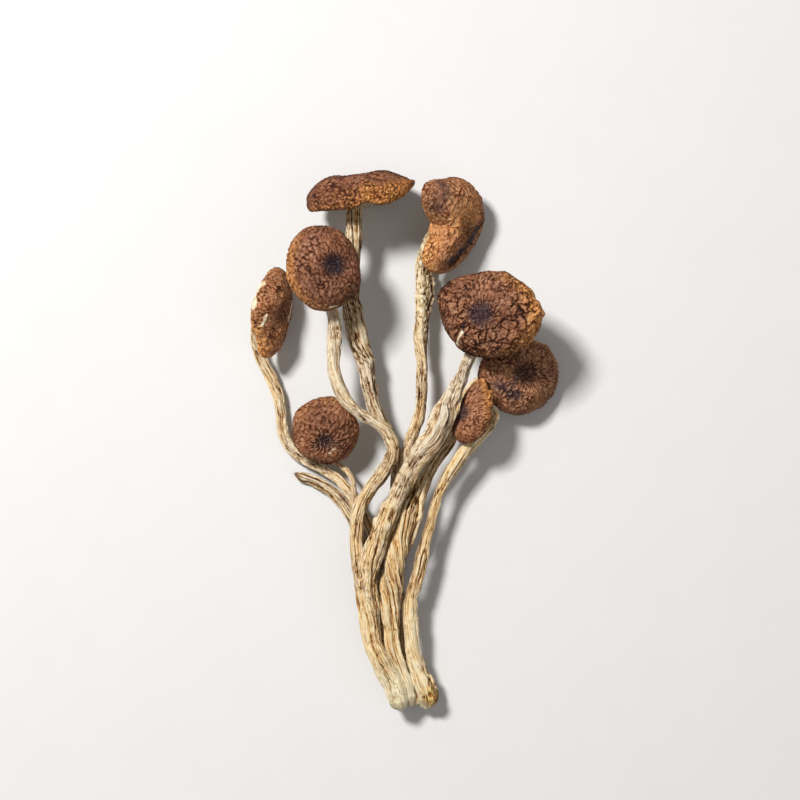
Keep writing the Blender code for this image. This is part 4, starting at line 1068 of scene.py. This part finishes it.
def cap_skin(number, cap):
    """Rings of a cap's skin in place, with what the material needs to know."""
    style = CAP_SKINS[number]
    turn, middle = cap_frame(cap)
    size = sum(cap["radii"]) / 2
    share, height, under = cap_profile(cap)
    count = int(sum(cap["radii"]) * math.pi / (CAP_STEP * 1.1))
    angles = np.linspace(0, math.tau, count, endpoint=False)
    angle, reach = np.meshgrid(angles, share)
    level = np.repeat(height[:, None], count, axis=1)
    below = np.repeat(under[:, None], count, axis=1)
    local, hollow = cap_surface(cap, angle, reach, level, below)
    normals = grid_normals(local)
    outer = 1 - eased(below, 0.0, 0.7)

    # Folds that radiate from the sunken middle
    steps = np.hypot(np.diff(share * size), np.diff(height))
    rows = np.concatenate([[0.0], np.cumsum(steps)])
    ring_radius = np.maximum(share * size, 0.35)
    outward = np.clip(rows / rows[np.argmax(under > 0.5)], 0, 1)
    fan_end = style["fan_reach"]
    stretch = 1 + (style["fan"] - 1) * (1 - eased(outward, fan_end * 0.6, fan_end))
    folds = style["folds"] * (0.65 + 0.35 * eased(outward, 0.1, 0.45))
    fold = shrivelled(rows, ring_radius, count, folds, stretch, style["seed"])
    side, breadth, amount = style["side"]
    ridges = eased(fold, -0.95, 0.8)
    groove = 1 - eased(fold, -1.0, -0.35 - 0.2 * amount)

    # Scales that take over from the folds farther out, coarse and then fine
    def patches(length, seed):
        return smooth_noise(local / length, seed + number)

    folded = amount * toward(angle, side, breadth)
    folded = folded * (1 - 0.6 * eased(outward, 0.55, 0.9)[:, None])
    core = style["core"]
    scaly = style["scaly"] * (1 + 0.45 * patches(3.0, 50))
    scaly = scaly * eased(outward, core, core + 0.24)[:, None]
    scaly = np.clip(scaly * (1 - folded), 0, 1)
    middle_scale, edge_scale = style["scale"]
    drawn = drawn_out(local, *style["drawn"])
    coarse = 1 - eased(outward[:, None] + 0.10 * patches(4.0, 55), 0.5, 0.85)
    coarse = coarse * eased(outward, 0.05, 0.3)[:, None]
    large, large_crease, tone = scales(drawn / (middle_scale * 1.1), style["seed"] + 7, 0.14)
    small, small_crease, _ = scales(drawn / (edge_scale * 1.1), style["seed"] + 8, 0.20)
    on_top = 0.45 * np.clip(middle_scale - 1.6, 0, 1) + (1 - coarse)
    finer = np.clip(on_top, 0, 1)
    scale_form = coarse * (LARGE_SCALES * large - LARGE_CREASES * large_crease
                           + SCALE_STEPS * tone)
    scale_form += finer * (SMALL_SCALES * small - SMALL_CREASES * small_crease + 0.1)
    crease = np.maximum(coarse * large_crease, small_crease * finer) * scaly
    crease = np.maximum(crease * 0.8, (0.3 + 0.3 * amount) * groove * (1 - scaly))
    dim = 0.6 * style["heart"] * eased(hollow, 0.35, 0.9)
    crease = crease * (1 - dim)

    # The relief of both, and the places where the skin is torn
    uneven = 0.85 + 0.4 * patches(3.0, 60)
    relief = style["height"] * uneven * (1 - 0.5 * dim) * (
        FOLDS * (ridges - 0.6) * (1 - scaly) + (scale_form - SCALE_MIDDLE) * scaly)
    relief += 0.07 * layered_noise(local / 0.55, 2, 65 + number)
    marks = cap_marks(number, local)
    torn = marks["pale"]
    relief = relief * (1 - torn) - TORN_DEPTH * torn
    swell = (BROAD_SWELL * layered_noise(local / 6.0, 2, 71 + number) + relief) * outer
    local = local + normals * swell[..., None]
    for stand, degrees, width in CAP_POINTS.get(number, ()):
        push = stand * toward(angle, degrees, width) * eased(reach, 0.8, 1.0) * outer
        local[..., 0] += push * np.cos(angle)
        local[..., 1] += push * np.sin(angle)

    # Colours: painted shade, dark in the creases and in what lies lower than its surroundings,
    # lighter on the ridges
    soft = np.full(len(rows), 0.42)
    sharp = relief - ring_blur(relief, rows, ring_radius, soft, soft)
    # The cap's lightness is partly its own tone and partly painted light that evens out how
    # brightly each cap is lit.
    painted_shade_and_tone = 0.64 + style["light"] + np.where(sharp > 0, 0.75, 1.3) * sharp + 0.22 * relief
    painted_shade_and_tone += 0.12 * (tone - 0.5) * coarse - 0.46 * crease
    torn_tone = 0.54 + 0.45 * layered_noise(local / 0.6, 2, 97)
    painted_shade_and_tone = np.clip(painted_shade_and_tone * (1 - torn) + torn_tone * torn, 0, 1)
    ragged = layered_noise(local / 2.0, 3, 90 + number)
    # Golden edge: its own colour all round, stronger toward one side, where it is partly painted
    # light.
    strength, direction, breadth, start = style["gold"]
    glow = strength * toward(angle, direction, breadth)
    edge = eased(-level / cap["dome"], 0.02, 0.32)
    inner_edge = eased(reach, start, 1.0)
    gold_edge_and_painted_light = edge * (0.40 + 0.6 * glow) + glow * inner_edge + 0.2 * ragged * inner_edge
    # Dark of the sunken middle, its own colour, joined by the dark marks, some of which are
    # painted shade.
    heart = style["heart"] * eased(hollow + 0.12 * ragged, 0.25, 0.85)
    gold_edge_and_painted_light, heart = [np.clip(np.maximum(own, marks[kind] * (1 + 0.4 * ragged)), 0, 1)
                  for own, kind in ((gold_edge_and_painted_light, "gold"), (heart, "dark"))]
    warmth = style["warmth"] + 0.35 * layered_noise(local / 7.0, 2, 95 + number)
    extra = dict(place=drawn_out(local, *style["drawn"]) + number * 40.0, painted_shade_and_tone=painted_shade_and_tone,
                 gold_edge_and_painted_light=gold_edge_and_painted_light * outer, heart=heart, pale=np.maximum(eased(below, 0.3, 0.8), torn),
                 warmth=np.clip(warmth, 0, 1), grained=np.clip(on_top + 0.25, 0, 1) * (1 - torn))
    return placed(local, turn, middle), extra


def make_caps(material):
    for number, cap in CAPS.items():
        grid, extra = cap_skin(number, cap)
        piece = skin_object(f"cap_{number}_skin", grid, extra, material)
        place_piece(piece, [f"cap_{number}"])


def make_gills(material):
    """A fan of thin gills in the hollow of each cap."""
    share = np.array([GILL_REACH, 0.75, 0.745, 0.71, 0.66, 0.58, 0.5, 0.4, 0.3, 0.2, 0.10])
    rise = np.array([1.2, 0.9, 0.5, 0.2, 0.05, 0, 0, 0, 0, 0, 0])[:, None]
    angles = np.linspace(0, math.tau, GILL_COUNT * 6, endpoint=False)
    angle, reach = np.meshgrid(angles, share)
    for number, cap in CAPS.items():
        radius = outline(cap, angle) * reach
        ring = np.stack([np.cos(angle) * 3, np.sin(angle) * 3, reach * 3], axis=-1)
        pleat = np.abs(np.sin(GILL_COUNT / 2 * angle + 1.2 * smooth_noise(ring, number)))
        depth = 1.3 * (1 - pleat) * eased(reach, 0.08, 0.3)
        base = cap["dome"] * (0.05 + 0.08 * (1 - reach ** 2)) - 1.1
        z = base + depth + rise + lift(cap, angle, reach)
        aside, ahead = stem_place(cap)
        inner = np.clip(1 - reach / GILL_REACH, 0, 1)
        x = radius * np.cos(angle) + aside * inner
        y = radius * np.sin(angle) + ahead * inner
        local = np.stack([x, y, z], axis=-1)
        grid = placed(local, *cap_frame(cap))
        # The pleat darkens the colour between the gills as painted shade.
        piece = skin_object(f"gills_{number}_fan", grid, dict(place=local, painted_shade_and_tone=pleat), material)
        place_piece(piece, [f"gills_{number}"])


# Stage

def make_floor():
    mesh = bpy.data.meshes.new("floor")
    corners = [(x * FLOOR_HALF, y * FLOOR_HALF, -FLOOR_DROP)
               for x, y in ((-1, -1), (1, -1), (1, 1), (-1, 1))]
    mesh.from_pydata(corners, [], [(0, 1, 2, 3)])
    floor = bpy.data.objects.new("floor", mesh)
    bpy.context.scene.collection.objects.link(floor)
    n = Nodes("floor_pale", 0.55)
    where = n.add("TexCoord", "Object", {})
    colour = n.mix(n.noise(60.0, 2.0, 0.5, where), (0.645, 0.65, 0.66), (0.665, 0.67, 0.68))
    n.tree.links.new(colour, n.shader.inputs["Base Color"])
    mesh.materials.append(n.material)


def make_lights():
    for name, (place, size, power, colour) in LIGHTS.items():
        light = bpy.data.lights.new(name, "AREA")
        light.size = size
        light.energy = power
        light.color = colour
        node = bpy.data.objects.new(name, light)
        node.location = place
        direction = Vector(LIGHTS_AIM) - Vector(place)
        node.rotation_euler = direction.to_track_quat("-Z", "Y").to_euler()
        bpy.context.scene.collection.objects.link(node)
    world = bpy.data.worlds.new("pale_room")
    bpy.context.scene.world = world
    world.use_nodes = True
    room = world.node_tree.nodes["Background"].inputs
    room["Color"].default_value = ROOM_COLOUR
    room["Strength"].default_value = ROOM_STRENGTH


def make_camera():
    """Straight above, tipped a few degrees, framed as the photograph is."""
    camera = bpy.data.cameras.new("camera")
    camera.sensor_width = SENSOR
    camera.lens = CAMERA_DISTANCE / MM_PER_PIXEL / PHOTO_PIXELS * SENSOR
    node = bpy.data.objects.new("camera", camera)
    tilt = math.radians(90 - CAMERA_ELEVATION)
    middle = Vector(CAMERA_MIDDLE) * MM
    away = Vector((0, -math.sin(tilt), math.cos(tilt))) * CAMERA_DISTANCE * MM
    node.location = middle + away
    node.rotation_euler = (tilt, 0, 0)
    bpy.context.scene.collection.objects.link(node)
    bpy.context.scene.camera = node


def main():
    bpy.context.scene.view_settings.view_transform = "Standard"
    make_camera()
    make_lights()
    make_floor()
    make_stems(flesh_material("stem_fibre_dry"), flesh_material("foot_fibre_dry"))
    make_caps(cap_material())
    make_gills(gill_material())
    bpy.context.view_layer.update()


main()
